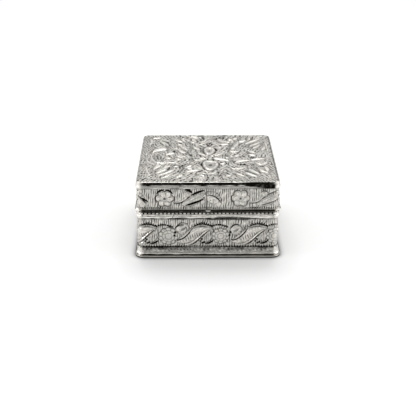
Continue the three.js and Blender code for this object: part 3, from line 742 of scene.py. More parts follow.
# Hinge
# Seven lengths of drawn tube turn on a riveted wire in a round channel. Two solid bearers, one on
# each wall, carry them, and their lips meet when the lid is open.
hinge_edge = 0.06
finished_copy("lower_bearer", "base_bearer", "base", hinge_edge, bright_silver)
finished_copy("upper_bearer", "lid_bearer", "lid", hinge_edge, bright_silver)
finished_copy("pin", "hinge_pin", "base", hinge_edge, plain_silver)
for number in range(1, 8):
    body = "base" if number % 2 else "lid"
    node = f"{body}_knuckle_{number}"
    finished_copy(f"tube_{number}", node, body, hinge_edge, bright_silver)

# Lid wall
# The same sheet, lower, with its two ends soldered in the middle of the front. Each side is
# chased with two repeats: a lobe with hairs, a six-lobed flower, a hooked bud and a long leaf.
lid_foot, lid_rim = box_in_mm("lid_band")[:, 2]
lid_low = 22.45
lid_high = 31.95
lid_seam = -0.6
lid_pitch = 31.8


def lobed_flower(relief, centre, radius, lobes, dark, top_reflection_dark):
    """A round flower: one petal, an oval dome, is repeated by folding the angle into equal parts.
    The heart is a button in a ring, with a punched eye."""
    at, dx, dy, r = relief.disc(centre, radius + 1)
    angle = np.arctan2(dy, dx)
    part = 2 * np.pi / lobes
    fold = (angle + part / 2) % part - part / 2
    out, aside = r * np.cos(fold), r * np.sin(fold)
    heart = radius * 0.3
    reach = (radius - heart) * 0.62
    half = radius * 0.66 * np.tan(part / 2)
    oval = np.hypot((out - radius + reach) / reach, aside / half)
    beyond = (oval - 1) * min(reach, half)
    petal = dome(oval) * (1 - 0.25 * bell(aside, 0.16))
    outline = np.minimum(beyond, r - heart)
    relief.lift(at, 0.36 * np.maximum(petal, 0.8 * dome(r / heart)), fade(outline, 0.16))
    relief.cut(at, bell(beyond - 0.04, 0.17) * fade(r - radius, 0.3), 0.14, dark)
    relief.cut(at, bell(r - heart, 0.15), 0.12, 0.5)
    relief.cut(at, bell(r, 0.36, 4), 0.3, 1.0)
    # The outline is painted darker along the upper side: a painted reflection of the dark room on the slopes
    # that face up
    painted_dark_top = np.clip(np.sin(angle) * 1.6 - 0.2, 0, 1)
    relief.cut(at, bell(outline - 0.16, 0.22), 0.14, dark + (top_reflection_dark - dark) * painted_dark_top)


def on_circle(centre, turn, across, up=None):
    """Places on a circle or an upright oval round a centre, as all x and all y."""
    return centre[0] + across * np.cos(turn), centre[1] + (across if up is None else up) * np.sin(turn)


def lid_unit(relief, bold):
    """One repeat of the lid wall's ornament, in mm from its left end and from the foot. The black
    cuts are wider where it is bold."""
    wide = 0.6 + 0.65 * bold
    leaf(relief, curve((-1.2, 28.6), (4.8, 28.4), (5.2, 22.9)), 5.0, 0.36, 0.8, 0.25, 0.9)
    stroke(relief, curve((0.2, 28.8), (3.3, 29.3), (5.1, 27.2), (6.1, 25.2)), 0.62 * wide, 0.22, 1.0)
    dots(relief, [(1.6, 26.6), (2.9, 25.7), (3.0, 26.9), (4.0, 25.0)], 0.26, 0.14, 0.6)
    turn = np.radians(122 - 16 * np.arange(8))
    lobe = (1.7, 25.6)
    hatch(relief, on_circle(lobe, turn, 3.3, 3.6), on_circle(lobe, turn, 4.6, 5.2), 0.34, 0.12, 0.75)
    chase(relief, (
        (ridge, ((17.6, 25.9), (20.6, 24.9), (22.6, 26.6), (24.4, 29.0)), 0.7, 0.36),
        (stroke, ((17.9, 25.4), (20.8, 24.6), (23.0, 26.3), (24.6, 28.2)), 0.55 * wide, 0.18, 0.95),
    ))
    heart = (14.2, 27.3)
    lobed_flower(relief, heart, 3.8, 6, 0.6 + 0.15 * bold, 0.5 + 0.45 * bold)
    turn = np.radians(np.arange(20, 380, 60))
    hatch(relief, on_circle(heart, turn, 1.5), on_circle(heart, turn, 2.9), 0.5, 0.08, 0.35 + 0.3 * bold)
    bow = np.array([4.0, 4.5, 4.0])
    for turn in np.radians((60, 120)):
        arc = np.transpose(on_circle((14.2, 27.2), turn + np.array([0.42, 0, -0.42]), bow))
        stroke(relief, curve(*arc, steps=6), 0.7 * wide, 0.24, 0.4 + 0.6 * bold)
    stroke(relief, curve((10.6, 28.8), (10.0, 27.4), (10.7, 25.6)), 0.5 * wide, 0.2, 0.95)
    bud(relief, (24.1, 29.3), 1.25, 0.4)
    stroke(relief, curve((22.7, 31.2), (24.4, 31.5), (25.7, 29.8)), 0.95 * wide, 0.24, 0.3 + 0.7 * bold)
    leaf(relief, curve((21.6, 24.4), (26.4, 26.2), (31.9, 29.6)), 3.5, 0.4, 0.5, 0.5, 1.1)
    black = 0.6 + 0.4 * bold
    chase(relief, (
        (ridge, ((21.6, 24.6), (26.4, 26.6), (31.4, 29.8)), 0.5, 0.5),
        (stroke, ((25.4, 28.8), (28.2, 30.3), (30.8, 31.0)), 0.8 * wide, 0.26, black),
        (stroke, ((23.0, 24.3), (26.8, 25.2), (30.4, 27.0)), 0.9 * wide, 0.26, black),
        (stroke, ((9.0, 29.6), (9.4, 27.2), (9.0, 24.8)), 0.25, 0.1, 0.5),
    ))
    k = np.arange(5)
    hatch(relief, (24.6 + 1.2 * k, 25.9 + 0.62 * k), (27.0 + 1.1 * k, 27.6 + 0.56 * k), 0.24, 0.08, 0.4)
    dots(relief, [(30.9, 27.8)], 0.5, 0.28, 1.0)


def lid_ornament(along, height):
    """The lid wall's relief: two repeats on each side, bold at the left, the seam in the middle
    of the front, a row of small teeth along the foot and a line along the top."""
    local = along - np.floor(along / side_length + 0.5) * side_length
    relief = Relief(local, height)
    relief.height += 0.05
    for start, bold in ((-2, 1.0), (-1, 1.0), (0, 0.35), (1, 0.35)):
        relief.x = local - lid_seam - start * lid_pitch
        lid_unit(relief, bold)
    relief.x = local
    stroke(relief, curve((-28.8, 27.8), (-27.2, 27.3), (-25.3, 25.9)), 0.95, 0.26, 1.0)
    relief.x = along
    lined_ground(relief, 9, 10)
    relief.film(0.2, 0.16, 0.5, 0.15)
    seam = bell(along - lid_seam - 0.06 * np.sin(height), 0.26) * (height > lid_low)
    relief.cut(everywhere, seam, 0.14, 0.85)
    relief.cut(everywhere, bell(height - lid_high + 0.2, 0.15), 0.12, 0.5)
    teeth(relief, lid_low + 0.3, 0.95, 0.8, 0.85, 0.2, 1.0 - 0.55 * fade(np.abs(along) - 17.5, 4.0))
    middle = (lid_low + lid_high) / 2
    relief.height *= fade(np.abs(height - middle) - (lid_high - lid_low) / 2 + 0.15, 0.3)
    return relief


lid_rows = np.concatenate([
    [lid_foot],
    hinge_z + channel_radius * np.array([0.25, 0.38, 0.5, 0.62, 0.7]),
    np.linspace(lid_low - 0.1, lid_high + 0.1, 56),
    [lid_rim],
])
lid_wall = wall_mesh("lid_wall", lid_rows, lid_ornament, np.array([lid_rim, 28.0, lid_foot]))
lid_wall.data.materials.append(chased_silver)
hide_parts("lid_band")
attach(lid_wall, "lid")

# Lid plate
# A square of thicker sheet, soldered on the lid's wall, its edge filed to a lean. It carries an old
# arabesque: two ringed buds on the middle line, a curled palmette to each side, and blades that
# fan out to the corners, on a ground of short punched cuts.
plate_low, plate_top = box_in_mm("lid_plate")[:, 2]
plate_high = plate_top - relief_rise
plate_lean = 0.22
plate_shoulder = 0.3
plate_steps = 290
# How far from the middle the rounded corners reach, as a share of half the side
plate_corner = 1.378

# The raised blades: each row has the control points from foot to tip, then the width
plate_blades = [
    ((0.2, 0.4), (-1.0, 2.6), (-3.2, 4.6), 2.1), ((-0.6, -2.2), (-3.0, -3.0), (-5.6, -5.4), 2.2),
    ((1.8, 0.4), (3.6, 2.2), (5.2, 5.4), 2.0), ((2.6, -2.4), (6.4, -2.4), (9.6, -5.8), 2.1),
    ((-18.1, 13.9), (-19.0, 17.6), (-22.0, 20.6), 1.7), ((-18.0, 9.4), (-22.4, 11.6), (-24.6, 5.2), 3.0),
    ((-14.7, 4.5), (-17.2, 4.4), (-18.7, 1.9), 2.0), ((-16.2, -2.3), (-17.6, -1.4), (-19.0, -1.7), 1.4),
    ((-11.6, -4.4), (-12.8, -2.8), (-14.0, -3.1), 1.5), ((-10.0, 4.8), (-11.0, 6.4), (-13.6, 9.2), 2.0),
    ((-20.2, -10.7), (-22.9, -11.4), (-23.3, -16.4), 2.5),
    ((-16.2, -11.7), (-18.6, -13.0), (-21.2, -17.0), 1.9),
    ((-15.8, -13.8), (-18.6, -15.8), (-22.2, -20.4), 1.9),
    ((-14.5, -16.3), (-17.6, -18.4), (-21.2, -23.4), 1.9),
    ((-12.3, -19.6), (-15.0, -21.4), (-19.8, -25.8), 1.9),
    ((-10.8, -21.5), (-11.8, -23.6), (-13.6, -25.0), 1.5),
    ((-12.4, -12.1), (-13.8, -11.8), (-15.2, -12.6), 1.4), ((-9.0, -9.6), (-8.8, -12.6), (-6.8, -16.4), 2.6),
    ((-7.8, 20.6), (-9.8, 22.2), (-11.8, 24.9), 1.7), ((-11.2, 19.5), (-13.0, 20.4), (-14.8, 22.2), 1.5),
    ((-11.4, 14.0), (-12.6, 15.2), (-13.2, 17.4), 1.9), ((-4.2, 26.2), (-6.2, 27.0), (-8.4, 26.6), 1.4),
    ((-8.9, 8.2), (-10.4, 11.4), (-12.8, 14.4), 1.3), ((-5.8, -1.2), (-7.4, 0.2), (-9.4, -0.4), 1.3),
    ((-9.6, -0.6), (-11.0, 0.6), (-12.6, 1.2), 1.3), ((-17.4, 20.4), (-19.4, 22.0), (-21.6, 23.6), 1.5),
    ((9.7, 19.5), (6.2, 20.2), (5.7, 24.6), 1.6), ((12.0, 20.7), (11.2, 22.4), (10.0, 24.2), 1.7),
    ((15.0, 20.0), (16.6, 20.4), (18.6, 21.8), 1.8), ((12.6, 23.4), (13.6, 24.0), (14.6, 24.8), 1.5),
    ((6.3, 15.9), (8.2, 16.6), (10.4, 16.2), 1.8), ((20.2, 22.8), (20.5, 24.2), (20.2, 26.0), 1.2),
    ((18.0, 16.5), (20.8, 20.0), (25.8, 24.7), 1.9), ((19.7, 13.4), (22.2, 16.4), (25.2, 19.3), 1.8),
    ((21.3, 10.8), (22.8, 13.0), (24.8, 15.9), 1.6), ((25.0, 8.8), (26.6, 10.4), (26.4, 13.0), 1.5),
    ((11.2, 9.4), (12.0, 11.0), (13.2, 12.6), 1.5), ((12.8, 12.8), (13.6, 15.0), (14.8, 18.4), 1.4),
    ((21.8, 5.4), (19.6, 5.6), (18.6, 8.2), 1.6), ((21.6, 1.0), (20.2, 2.4), (18.6, 2.6), 1.8),
    ((19.2, -4.7), (21.2, -2.6), (26.0, -2.7), 1.8), ((23.0, -10.3), (25.4, -9.0), (26.4, -6.0), 1.6),
    ((24.8, -12.2), (26.4, -15.0), (25.4, -19.0), 1.5), ((16.2, -18.4), (18.0, -21.4), (20.8, -24.3), 2.0),
    ((17.8, -15.8), (20.0, -18.2), (22.0, -21.4), 1.7), ((12.3, -19.4), (13.4, -21.6), (15.0, -23.2), 1.6),
    ((7.3, -18.0), (6.2, -19.4), (5.9, -22.0), 1.7), ((7.7, -23.8), (8.8, -22.6), (10.2, -22.0), 1.5),
    ((12.2, -7.8), (14.2, -4.4), (19.0, -5.0), 1.9), ((8.2, -1.2), (9.8, 0.0), (11.8, -0.2), 1.5),
    ((12.6, 0.2), (13.4, 1.2), (14.8, 1.4), 1.2), ((10.4, 6.6), (12.2, 5.8), (14.6, 6.8), 1.4),
    ((-11.9, 23.2), (-10.2, 21.2), (-8.5, 19.0), 1.4), ((-3.3, 19.0), (-1.1, 20.3), (0.2, 23.8), 1.3),
    ((5.1, 23.8), (6.2, 20.6), (8.1, 18.6), 1.5), ((9.1, 19.0), (11.0, 18.6), (12.8, 20.3), 1.2),
    ((-6.6, 13.6), (-5.5, 10.7), (-3.7, 9.8), 1.3), ((-4.2, 4.6), (-2.4, 3.4), (-0.7, 1.0), 1.3),
    ((4.1, 1.6), (5.7, 2.5), (7.7, 5.2), 1.3), ((-15.3, 10.4), (-13.1, 11.1), (-10.8, 8.0), 1.4),
    ((-14.1, 1.6), (-12.5, 0.7), (-10.7, -2.8), 1.3), ((-6.1, -4.0), (-4.0, -3.7), (-2.4, -6.0), 1.3),
    ((4.9, -8.0), (6.8, -9.2), (8.8, -6.9), 1.3), ((-10.7, -13.9), (-8.7, -11.4), (-6.3, -11.1), 1.4),
    ((-8.9, -18.6), (-6.1, -16.1), (-3.4, -17.2), 1.4), ((-4.1, -20.8), (-2.8, -21.3), (-1.5, -23.7), 1.3),
    ((5.0, -21.9), (5.5, -17.8), (7.0, -15.0), 1.4), ((12.0, -20.5), (14.0, -21.3), (15.5, -24.0), 1.3),
    ((21.4, -15.0), (23.8, -17.8), (26.1, -20.5), 1.5), ((-25.5, 23.8), (-23.9, 25.8), (-21.6, 24.8), 1.3),
    ((21.4, -8.0), (23.3, -9.4), (25.0, -12.0), 1.3), ((-18.0, -8.0), (-15.5, -6.3), (-12.9, -8.6), 1.3),
]
# The black cuts between them: control points, then the width and how black it is
plate_cuts = [
    ((-22.2, 22.2), (-18.2, 21.4), (-16.6, 13.8), 0.9, 0.5),
    ((-25.0, 17.6), (-25.9, 13.6), (-23.2, 11.2), 0.7, 0.4),
    ((-26.4, 3.6), (-26.2, 7.6), (-23.6, 11.2), 0.7, 0.4),
    ((-23.7, 4.2), (-24.4, -0.4), (-22.4, -5.4), 0.6, 0.5),
    ((-22.2, 4.4), (-22.8, 0.0), (-21.2, -4.0), 0.6, 0.6),
    ((-20.7, 2.2), (-21.3, -2.2), (-19.6, -4.6), 0.6, 0.6),
    ((-19.0, 0.1), (-17.8, 0.3), (-16.6, -0.4), 0.8, 0.7),
    ((-15.2, 8.9), (-14.6, 7.2), (-15.3, 5.2), 0.9, 0.85),
    ((-15.2, 11.8), (-12.8, 11.6), (-10.3, 8.0), 0.8, 0.8),
    ((-22.3, -10.2), (-25.2, -13.4), (-23.3, -23.4), 0.8, 0.45),
    ((-20.6, -14.8), (-19.6, -12.8), (-17.9, -11.2), 0.7, 0.7),
    ((-17.8, -15.8), (-16.4, -14.4), (-16.6, -12.4), 0.8, 0.75),
    ((-15.4, -10.6), (-13.0, -10.9), (-10.6, -10.7), 0.8, 0.7),
    ((-3.4, -8.2), (-11.8, -7.0), (-10.6, -13.8), 0.9, 0.55),
    ((-10.6, -13.8), (-11.8, -18.4), (-16.8, -23.8), 0.8, 0.5),
    ((-2.4, -6.6), (-3.2, -11.0), (-0.4, -15.2), 1.0, 0.75),
    ((4.6, -6.8), (5.0, -10.6), (2.8, -14.6), 0.8, 0.65), ((4.3, 25.8), (4.8, 18.6), (9.4, 17.2), 0.8, 0.4),
    ((9.3, 24.4), (9.5, 23.2), (9.1, 22.2), 0.8, 0.7), ((15.2, 25.8), (15.9, 24.4), (15.4, 23.0), 0.7, 0.5),
    ((21.1, 26.4), (21.5, 24.0), (20.8, 22.0), 0.7, 0.6),
    ((18.6, 14.6), (21.0, 17.8), (24.8, 20.6), 0.8, 0.6),
    ((20.3, 11.9), (22.0, 13.8), (23.6, 15.6), 0.7, 0.55),
    ((25.6, 13.8), (26.6, 16.6), (25.8, 20.0), 0.6, 0.5), ((17.1, 9.2), (17.5, 8.2), (17.1, 7.2), 0.8, 0.6),
    ((18.1, 7.6), (18.6, 4.4), (21.8, 3.0), 0.8, 0.55), ((18.8, -0.3), (20.2, -0.8), (21.8, -0.8), 0.8, 0.8),
    ((23.0, -0.6), (24.6, -0.8), (26.0, -0.6), 0.7, 0.65),
    ((22.8, -11.3), (23.8, -11.6), (24.8, -11.1), 0.7, 0.65),
    ((16.2, -16.2), (17.6, -18.8), (20.8, -21.2), 0.9, 0.75),
    ((15.9, -20.2), (16.8, -23.2), (19.0, -25.4), 0.7, 0.5),
    ((12.6, -17.4), (13.0, -18.6), (13.8, -19.4), 0.8, 0.7),
    ((4.6, -21.4), (4.8, -17.0), (8.4, -16.4), 0.8, 0.4), ((5.2, -6.9), (6.2, -7.4), (7.0, -7.0), 0.8, 0.75),
    ((8.0, -6.8), (8.6, -7.8), (8.5, -8.9), 0.8, 0.75), ((11.2, -4.4), (12.4, -5.4), (12.2, -6.8), 0.8, 0.7),
    ((2.9, 12.2), (4.4, 10.6), (4.4, 7.8), 0.9, 0.75), ((-1.6, 12.0), (-2.8, 9.6), (-1.4, 3.8), 0.8, 0.6),
    ((-7.2, 18.6), (-6.6, 13.0), (-8.6, 6.0), 0.7, 0.4),
    ((-1.0, 24.8), (-1.8, 19.2), (-6.4, 18.2), 0.7, 0.5), ((10.6, 18.4), (11.6, 13.4), (9.6, 7.4), 0.7, 0.4),
    ((-7.4, 4.6), (-6.8, 3.0), (-7.2, 1.6), 0.7, 0.65), ((14.6, 1.0), (15.8, 2.0), (16.6, 0.6), 0.7, 0.7),
    ((8.2, 2.8), (9.2, 1.6), (8.6, 0.4), 0.8, 0.7), ((-11.1, 23.8), (-7.7, 17.7), (-6.1, 9.5), 0.7, 0.5),
    ((11.1, 22.5), (11.4, 12.9), (9.4, 6.7), 0.7, 0.5), ((-8.8, 6.4), (-6.1, -0.8), (-7.7, -7.4), 0.7, 0.5),
    ((8.9, 5.5), (10.1, -3.7), (12.0, -8.0), 0.7, 0.5),
    ((-11.7, -16.4), (-8.7, -8.0), (-4.6, -10.3), 0.7, 0.6),
    ((-10.7, -20.5), (-6.6, -18.9), (-2.6, -21.9), 0.6, 0.5),
    ((4.3, -24.5), (6.6, -16.4), (10.6, -17.2), 0.7, 0.6),
    ((11.8, -12.3), (15.1, -8.0), (18.6, -11.1), 0.6, 0.5),
    ((12.2, -15.0), (15.5, -11.1), (18.4, -13.9), 0.6, 0.5),
    ((19.3, -8.0), (21.1, -12.3), (22.6, -20.5), 0.7, 0.5),
    ((-19.2, -20.5), (-16.8, -16.4), (-13.9, -8.0), 0.7, 0.5),
    ((-19.8, 17.7), (-17.5, 11.4), (-17.8, 5.2), 0.6, 0.5),
    ((16.4, 17.7), (17.8, 12.9), (19.9, 11.4), 0.6, 0.35),
]
# The curling stems, raised as wires: control points, then the width
plate_wires = [
    ((-24.2, -4.2), (-22.6, -9.6), (-16.2, -9.2), (-17.6, -4.6), 1.1),
    ((-27.4, 2.6), (-27.0, 6.0), (-25.0, 9.6), 0.9), ((-27.2, -2.0), (-26.8, -7.0), (-23.6, -9.4), 0.9),
    ((-25.2, 2.0), (-25.0, -3.6), (-22.0, -8.0), 0.7),
    ((-0.4, 25.6), (-1.4, 18.6), (-6.6, 17.0), (-7.9, 20.9), 0.9),
    ((-6.8, 21.8), (-5.4, 25.6), (-2.8, 25.8), 1.0), ((-6.4, -9.8), (-3.8, -12.6), (-0.2, -19.2), 0.8),
    ((-4.6, -9.6), (-2.4, -12.4), (0.6, -16.6), 0.6), ((8.8, -10.2), (6.4, -13.2), (3.2, -19.2), 0.8),
    ((-3.6, 15.6), (-1.4, 17.0), (1.2, 21.2), 0.8), ((5.6, 13.4), (4.0, 17.0), (1.6, 21.4), 0.8),
    ((26.4, 4.6), (27.6, 0.0), (26.2, -6.2), 0.8), ((27.6, 8.2), (28.0, 13.0), (27.2, 19.4), 0.8),
    ((-27.0, 24.4), (-25.0, 21.0), (-26.2, 16.4), 0.8),
    ((-26.8, -12.0), (-26.2, -17.0), (-24.8, -22.0), 0.8), ((22.4, 20.0), (23.0, 26.0), (26.6, 27.6), 0.8),
    ((10.6, -14.6), (13.2, -16.8), (15.4, -12.4), (18.4, -13.0), 0.7),
    ((-3.4, 9.8), (-5.4, 12.4), (-4.2, 15.8), 0.7),
]
# The round punch marks
plate_dots = [
    (-14.7, 11.4), (-8.8, 6.4), (-14.7, -0.9), (-20.0, -4.5), (-15.8, -4.9), (-14.1, -20.5), (-12.8, 18.2),
    (-8.9, 17.3), (-4.3, 21.0), (-2.8, 22.7), (-1.6, 25.7), (-25.3, 26.0), (13.4, -8.9), (14.7, -8.9),
    (15.9, -9.1), (17.2, -10.1), (11.2, -12.3), (3.0, 1.2), (1.9, 15.5), (1.9, 19.0), (28.2, -9.0),
    (-13.6, 25.0),
]


def ring(relief, centre, across, up, width):
    """A raised oval wire with a sunk field: a round back on the distance from the oval, which is
    the length of the place in shares of the two half sizes. It is worn down on two sides, which
    are painted dark as painted shade, so that two bright crescents stay as painted highlights."""
    at, dx, dy, _ = relief.disc(centre, max(across, up) + 2)
    dx, dy = dx / across, dy / up
    angle = np.arctan2(dy, dx)
    distance = (np.hypot(dx, dy) - 1 - 0.08 * np.sin(3 * angle + 0.8)) * min(across, up)
    high_and_lit = 0.5 + 0.5 * np.sin(2 * angle + 0.6)
    back = 0.4 * dome(distance / width) * (0.55 + 0.45 * high_and_lit)
    relief.lift(at, back, fade(distance - width, 0.2))
    notch = (0.5 - 0.5 * np.cos(9 * angle)) ** 3 * fade(np.abs(distance) - width, 0.2)
    relief.cut(at, bell(distance - width - 0.35, 0.4), 0.14, 0.85)
    # The low sides are painted dark: painted shade that leaves bright crescents as painted highlights
    relief.cut(at, np.maximum(0.8 * (1 - high_and_lit), notch), 0.06, 0.5)
    relief.cut(at, fade(np.hypot(dx, dy) - 0.42, 0.5), 0.16, 0.8)


def plate_ornament(x, y):
    """The lid plate's relief: wires, blades and cuts from the tables, the ringed buds, then the
    ground's cuts and the border of frame lines and upright ticks. The ground is a wave that leans
    with the blades, broken along its length, and drawn coarser than it is so that it shows."""
    relief = Relief(x, y)
    relief.height += 0.02
    for *points, width in plate_wires:
        ridge(relief, curve(*points), width, 0.4)
    for *points, width in plate_blades:
        leaf(relief, curve(*points, steps=12), 1.1 * width, 0.4, 0.75, 0.75, 0.9, fat=0.8, halo=0.5)
    for *points, width, dark in plate_cuts:
        run = np.abs(np.subtract(points[-1], points[0]))
        wide = width * (1.1 + 0.7 * run[0] / run.sum())
        # A broad shallow dip along each cut, painted grey: painted shade round the cut
        stroke(relief, curve(*points, steps=12), 2.4 * wide, 0.08, 0.4, blunt=0.7)
        stroke(relief, curve(*points, steps=12), wide, 0.24, min(1.0, dark * 1.2), blunt=0.5)
    dots(relief, plate_dots, 0.55, 0.24, 1.0)
    ring(relief, (1.0, 8.2), 1.9, 4.0, 0.55)
    ring(relief, (1.2, -9.8), 2.8, 4.8, 0.65)
    for level, width in ((-17.3, 2.6), (-21.3, 3.0)):
        bar = curve((1.5 - width / 2, level), (1.5, level - 0.2), (1.5 + width / 2, level), steps=5)
        stroke(relief, bar, 1.7, 0.2, 0.65)
    for level in (-8.6, -19.6, -22.4):
        stroke(relief, curve((-29.2, level), (-28.0, level), (-26.6, level - 0.3), steps=4), 0.7, 0.16, 0.8)
    leaning = (x - 0.45 * np.abs(y) * np.tanh(x / 9.0)) / 1.4 + 0.7 * uneven(x, y, 8.0, 13)
    breaks = y / 3.1 + 1.1 * uneven(x, y, 4.0, 14)
    grain = np.cos(2 * np.pi * leaning) * (0.4 + 0.6 * np.cos(2 * np.pi * breaks))
    grain += 0.34 * uneven(x, y, 1.2, 11)
    relief.height += 0.1 * grain * (0.2 + 0.8 * relief.ground) + 0.02 * uneven(x, y, 0.8, 12)
    relief.dark = np.maximum(relief.dark, np.clip(0.3 - 1.15 * grain, 0, 0.95) * relief.ground)
    relief.film(0.54, 0.09, 0.22)
    across = np.abs(x)
    along = np.abs(y)
    for line in (27.0, 28.1, 29.0):
        relief.cut(everywhere, bell(across - line, 0.2) * (along < 28.6), 0.12, 0.6)
    side_line = bell(across - 29.45, 0.3) * (along < 29.2)
    relief.cut(everywhere, side_line, 0.1, np.where(x > 0, 0.95, 0.7))
    ticks = (0.5 - 0.5 * np.cos(2 * np.pi * x / 1.2)) ** 2 * (along > 25.2) * (along < 28.7) * (across < 26.8)
    relief.cut(everywhere, ticks * relief.ground, 0.2, 0.62)
    relief.height *= fade(np.maximum(across, along) - 29.3, 0.5)
    return relief


def plate_places(u, v):
    """Places on the plate for a square of parameters from -1 to 1: every square ring of it becomes
    a square with corners rounded in proportion. Also the outward direction there."""
    size = np.maximum(np.maximum(np.abs(u), np.abs(v)), 1e-6)
    on_x = np.abs(u) >= np.abs(v)
    share = np.where(on_x, v, u) / size
    rounding = corner_radius / half_side
    bend = np.clip((np.abs(share) - 1 + rounding) / rounding, 0, 1) * np.pi / 4
    main = 1 - rounding * (1 - np.cos(bend))
    cross = np.sign(share) * np.where(bend > 0, 1 - rounding + rounding * np.sin(bend), np.abs(share))
    near_x = np.where(on_x, np.sign(u) * main, cross) * size
    near_y = np.where(on_x, cross, np.sign(v) * main) * size
    turn = np.sign(share) * bend
    out_x = np.where(on_x, np.sign(u) * np.cos(turn), np.sin(turn))
    out_y = np.where(on_x, np.sin(turn), np.sign(v) * np.cos(turn))
    return near_x, near_y, out_x, out_y


def lid_plate():
    """The plate: a square grid for the chased face, and rings from its border round the leaning
    edge and in underneath. The edge is painted black, a painted reflection of the dark room,
    fading to grey underneath, but for its corners, which are left light as painted highlights. At
    the right end of the front the painted black reaches up to the face."""
    steps = np.linspace(-1, 1, plate_steps)
    u, v = np.meshgrid(steps, steps, indexing="ij")
    x, y, _, _ = plate_places(u, v)
    face_half = half_side - plate_shoulder
    relief = plate_ornament(x.ravel() * face_half, y.ravel() * face_half)
    level = plate_high + np.minimum(relief.height, relief_rise).reshape(x.shape)
    face = np.stack([x * face_half, y * face_half, level], -1).reshape(-1, 3)
    index = np.arange(plate_steps**2).reshape(plate_steps, plate_steps)
    quads = np.stack([index[:-1, :-1], index[1:, :-1], index[1:, 1:], index[:-1, 1:]], -1).reshape(-1, 4)
    border = np.concatenate([index[:-1, 0], index[-1, :-1], index[:0:-1, -1], index[0, :0:-1]])
    rim_x, rim_y, out_x, out_y = plate_places(u.ravel()[border], v.ravel()[border])
    turn = np.linspace(0.35, np.pi / 2, 4)
    thick = plate_high - plate_low
    lean = [plate_lean * 0.9, plate_lean, -0.5, -1.2]
    edge_out = np.concatenate([plate_shoulder * (np.sin(turn) - 1), lean])
    edge_down = np.concatenate([plate_shoulder * (1 - np.cos(turn)), [thick - 0.05, thick, thick, thick]])
    rings = np.stack([
        rim_x[:, None] * half_side + out_x[:, None] * edge_out,
        rim_y[:, None] * half_side + out_y[:, None] * edge_out,
        np.broadcast_to(plate_high - edge_down, (len(border), len(edge_out))),
    ], -1)
    ring_index = len(face) + np.arange(rings.shape[0] * rings.shape[1]).reshape(rings.shape[:2])
    chain = np.concatenate([border[:, None], ring_index], 1)
    ahead = np.roll(chain, -1, 0)
    sides = np.stack([chain[:, :-1], chain[:, 1:], ahead[:, 1:], ahead[:, :-1]], -1).reshape(-1, 4)
    faces = quads.tolist() + sides.tolist() + [chain[::-1, -1].tolist()]
    # Darkness by ring, from the face's border round the edge to the underside: the black on the edge is a
    # painted reflection of the dark room
    painted_edge_shade = np.array([0.05, 0.45, 0.95, 0.96, 0.96, 0.96, 0.6, 0.15])
    along_front = rim_x * half_side
    right_end = fade(15.5 - along_front, 8.0) * fade(along_front - 28, 0.6) * (rim_y < -0.5)
    on_edge = np.arange(len(painted_edge_shade)) < 6
    at_corner = bell(np.hypot(rim_x, rim_y) - plate_corner, 0.02)[:, None]
    # The corners keep their light colour: painted highlights where they turn to the side lamps
    corner_wear_and_glint = 1 - 0.85 * at_corner * (painted_edge_shade > 0.7)
    painted_edge_shade = np.maximum(painted_edge_shade, 0.97 * right_end[:, None] * on_edge) * corner_wear_and_glint
    dark = np.concatenate([relief.dark, painted_edge_shade.ravel()])
    return mesh_piece("lid_top", np.concatenate([face, rings.reshape(-1, 3)]), faces, dark)


lid_top = lid_plate()
lid_top.data.materials.append(chased_silver)
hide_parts("lid_plate")
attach(lid_top, "lid")

# Cornice
# A drawn strip under the lid's plate: a small fillet, then a long face that leans in to the
# plate's edge. It faces the dark room, and its upper face is painted black, a painted reflection
# of that room, over a thin tarnish film, so it reads as a black line.
cornice_box = box_in_mm("lid_cornice")
cornice_out = cornice_box[1][0] - half_side
cornice_low, cornice_high = cornice_box[:, 2]


def cornice_reflection_and_tarnish(along, out, up):
    """Painted black over the upper face, a painted reflection of the dark room, and painted black
    over the whole height at the right end of the front; a dark streak along its foot and a thin
    tarnish film.
    """
    patch = fade(19.0 - along, 13.0) * fade(along - 28.0, 0.5)
    edge = cornice_low + 1.2 - 0.8 * patch + 0.08 * uneven(along, up, 4.0, 21)
    # The painted reflection of the dark room: black above the edge line
    black = fade(edge - up, 0.16) * (0.94 + 0.1 * uneven(along, up, 2.2, 22))
    streak = bell(up - cornice_low - 0.1, 0.16) * (0.75 + 0.3 * uneven(along, up, 6.0, 24))
    film = 0.2 + 0.2 * uneven(along * 0.5, up, 1.5, 26)
    return np.maximum.reduce([black, streak, film, 0.93 * patch * (patch > 0.6)])


cornice_profile = rounded([
    (0, cornice_low), (cornice_out, cornice_low), (cornice_out, cornice_low + 0.55),
    (plate_lean + 0.02, cornice_low + 1.1), (plate_lean, cornice_high), (0, cornice_high),
], 0.09)
cornice = moulding("cornice", cornice_profile, True, 700, cornice_reflection_and_tarnish, 0.03, 23)
cornice.data.materials.append(bright_silver)
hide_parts("lid_cornice")
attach(cornice, "lid")

# Lid rim wire and thumb lip
# A half-round wire soldered along the lid's lower edge, with a small pointed nib in the middle of
# the front to lift the lid by.
wire_box = box_in_mm("lid_rim_wire")


def wire_shade_and_tarnish(along, out, up):
    """Painted black below, as shade where it faces the parting gap, and thin tarnish along its
    upper edge.
    """
    low, high = wire_box[:, 2]
    # Painted shade below, facing the parting gap
    return np.maximum(fade(up - low - 0.86, 0.12), 0.3 * fade(high - 0.06 - up, 0.1))


lid_wire = moulding("lid_wire", half_round(wire_box), False, 700, wire_shade_and_tarnish, 0.03, 25)
lid_wire.data.materials.append(bright_silver)
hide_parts("lid_rim_wire")
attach(lid_wire, "lid")

# The nib is painted dark below 21.75 mm: painted shade where it faces the parting gap
finished_copy("thumb_nib", "thumb_lip", "lid", 0.08, bright_silver, (0.96, 0.5, 21.75))

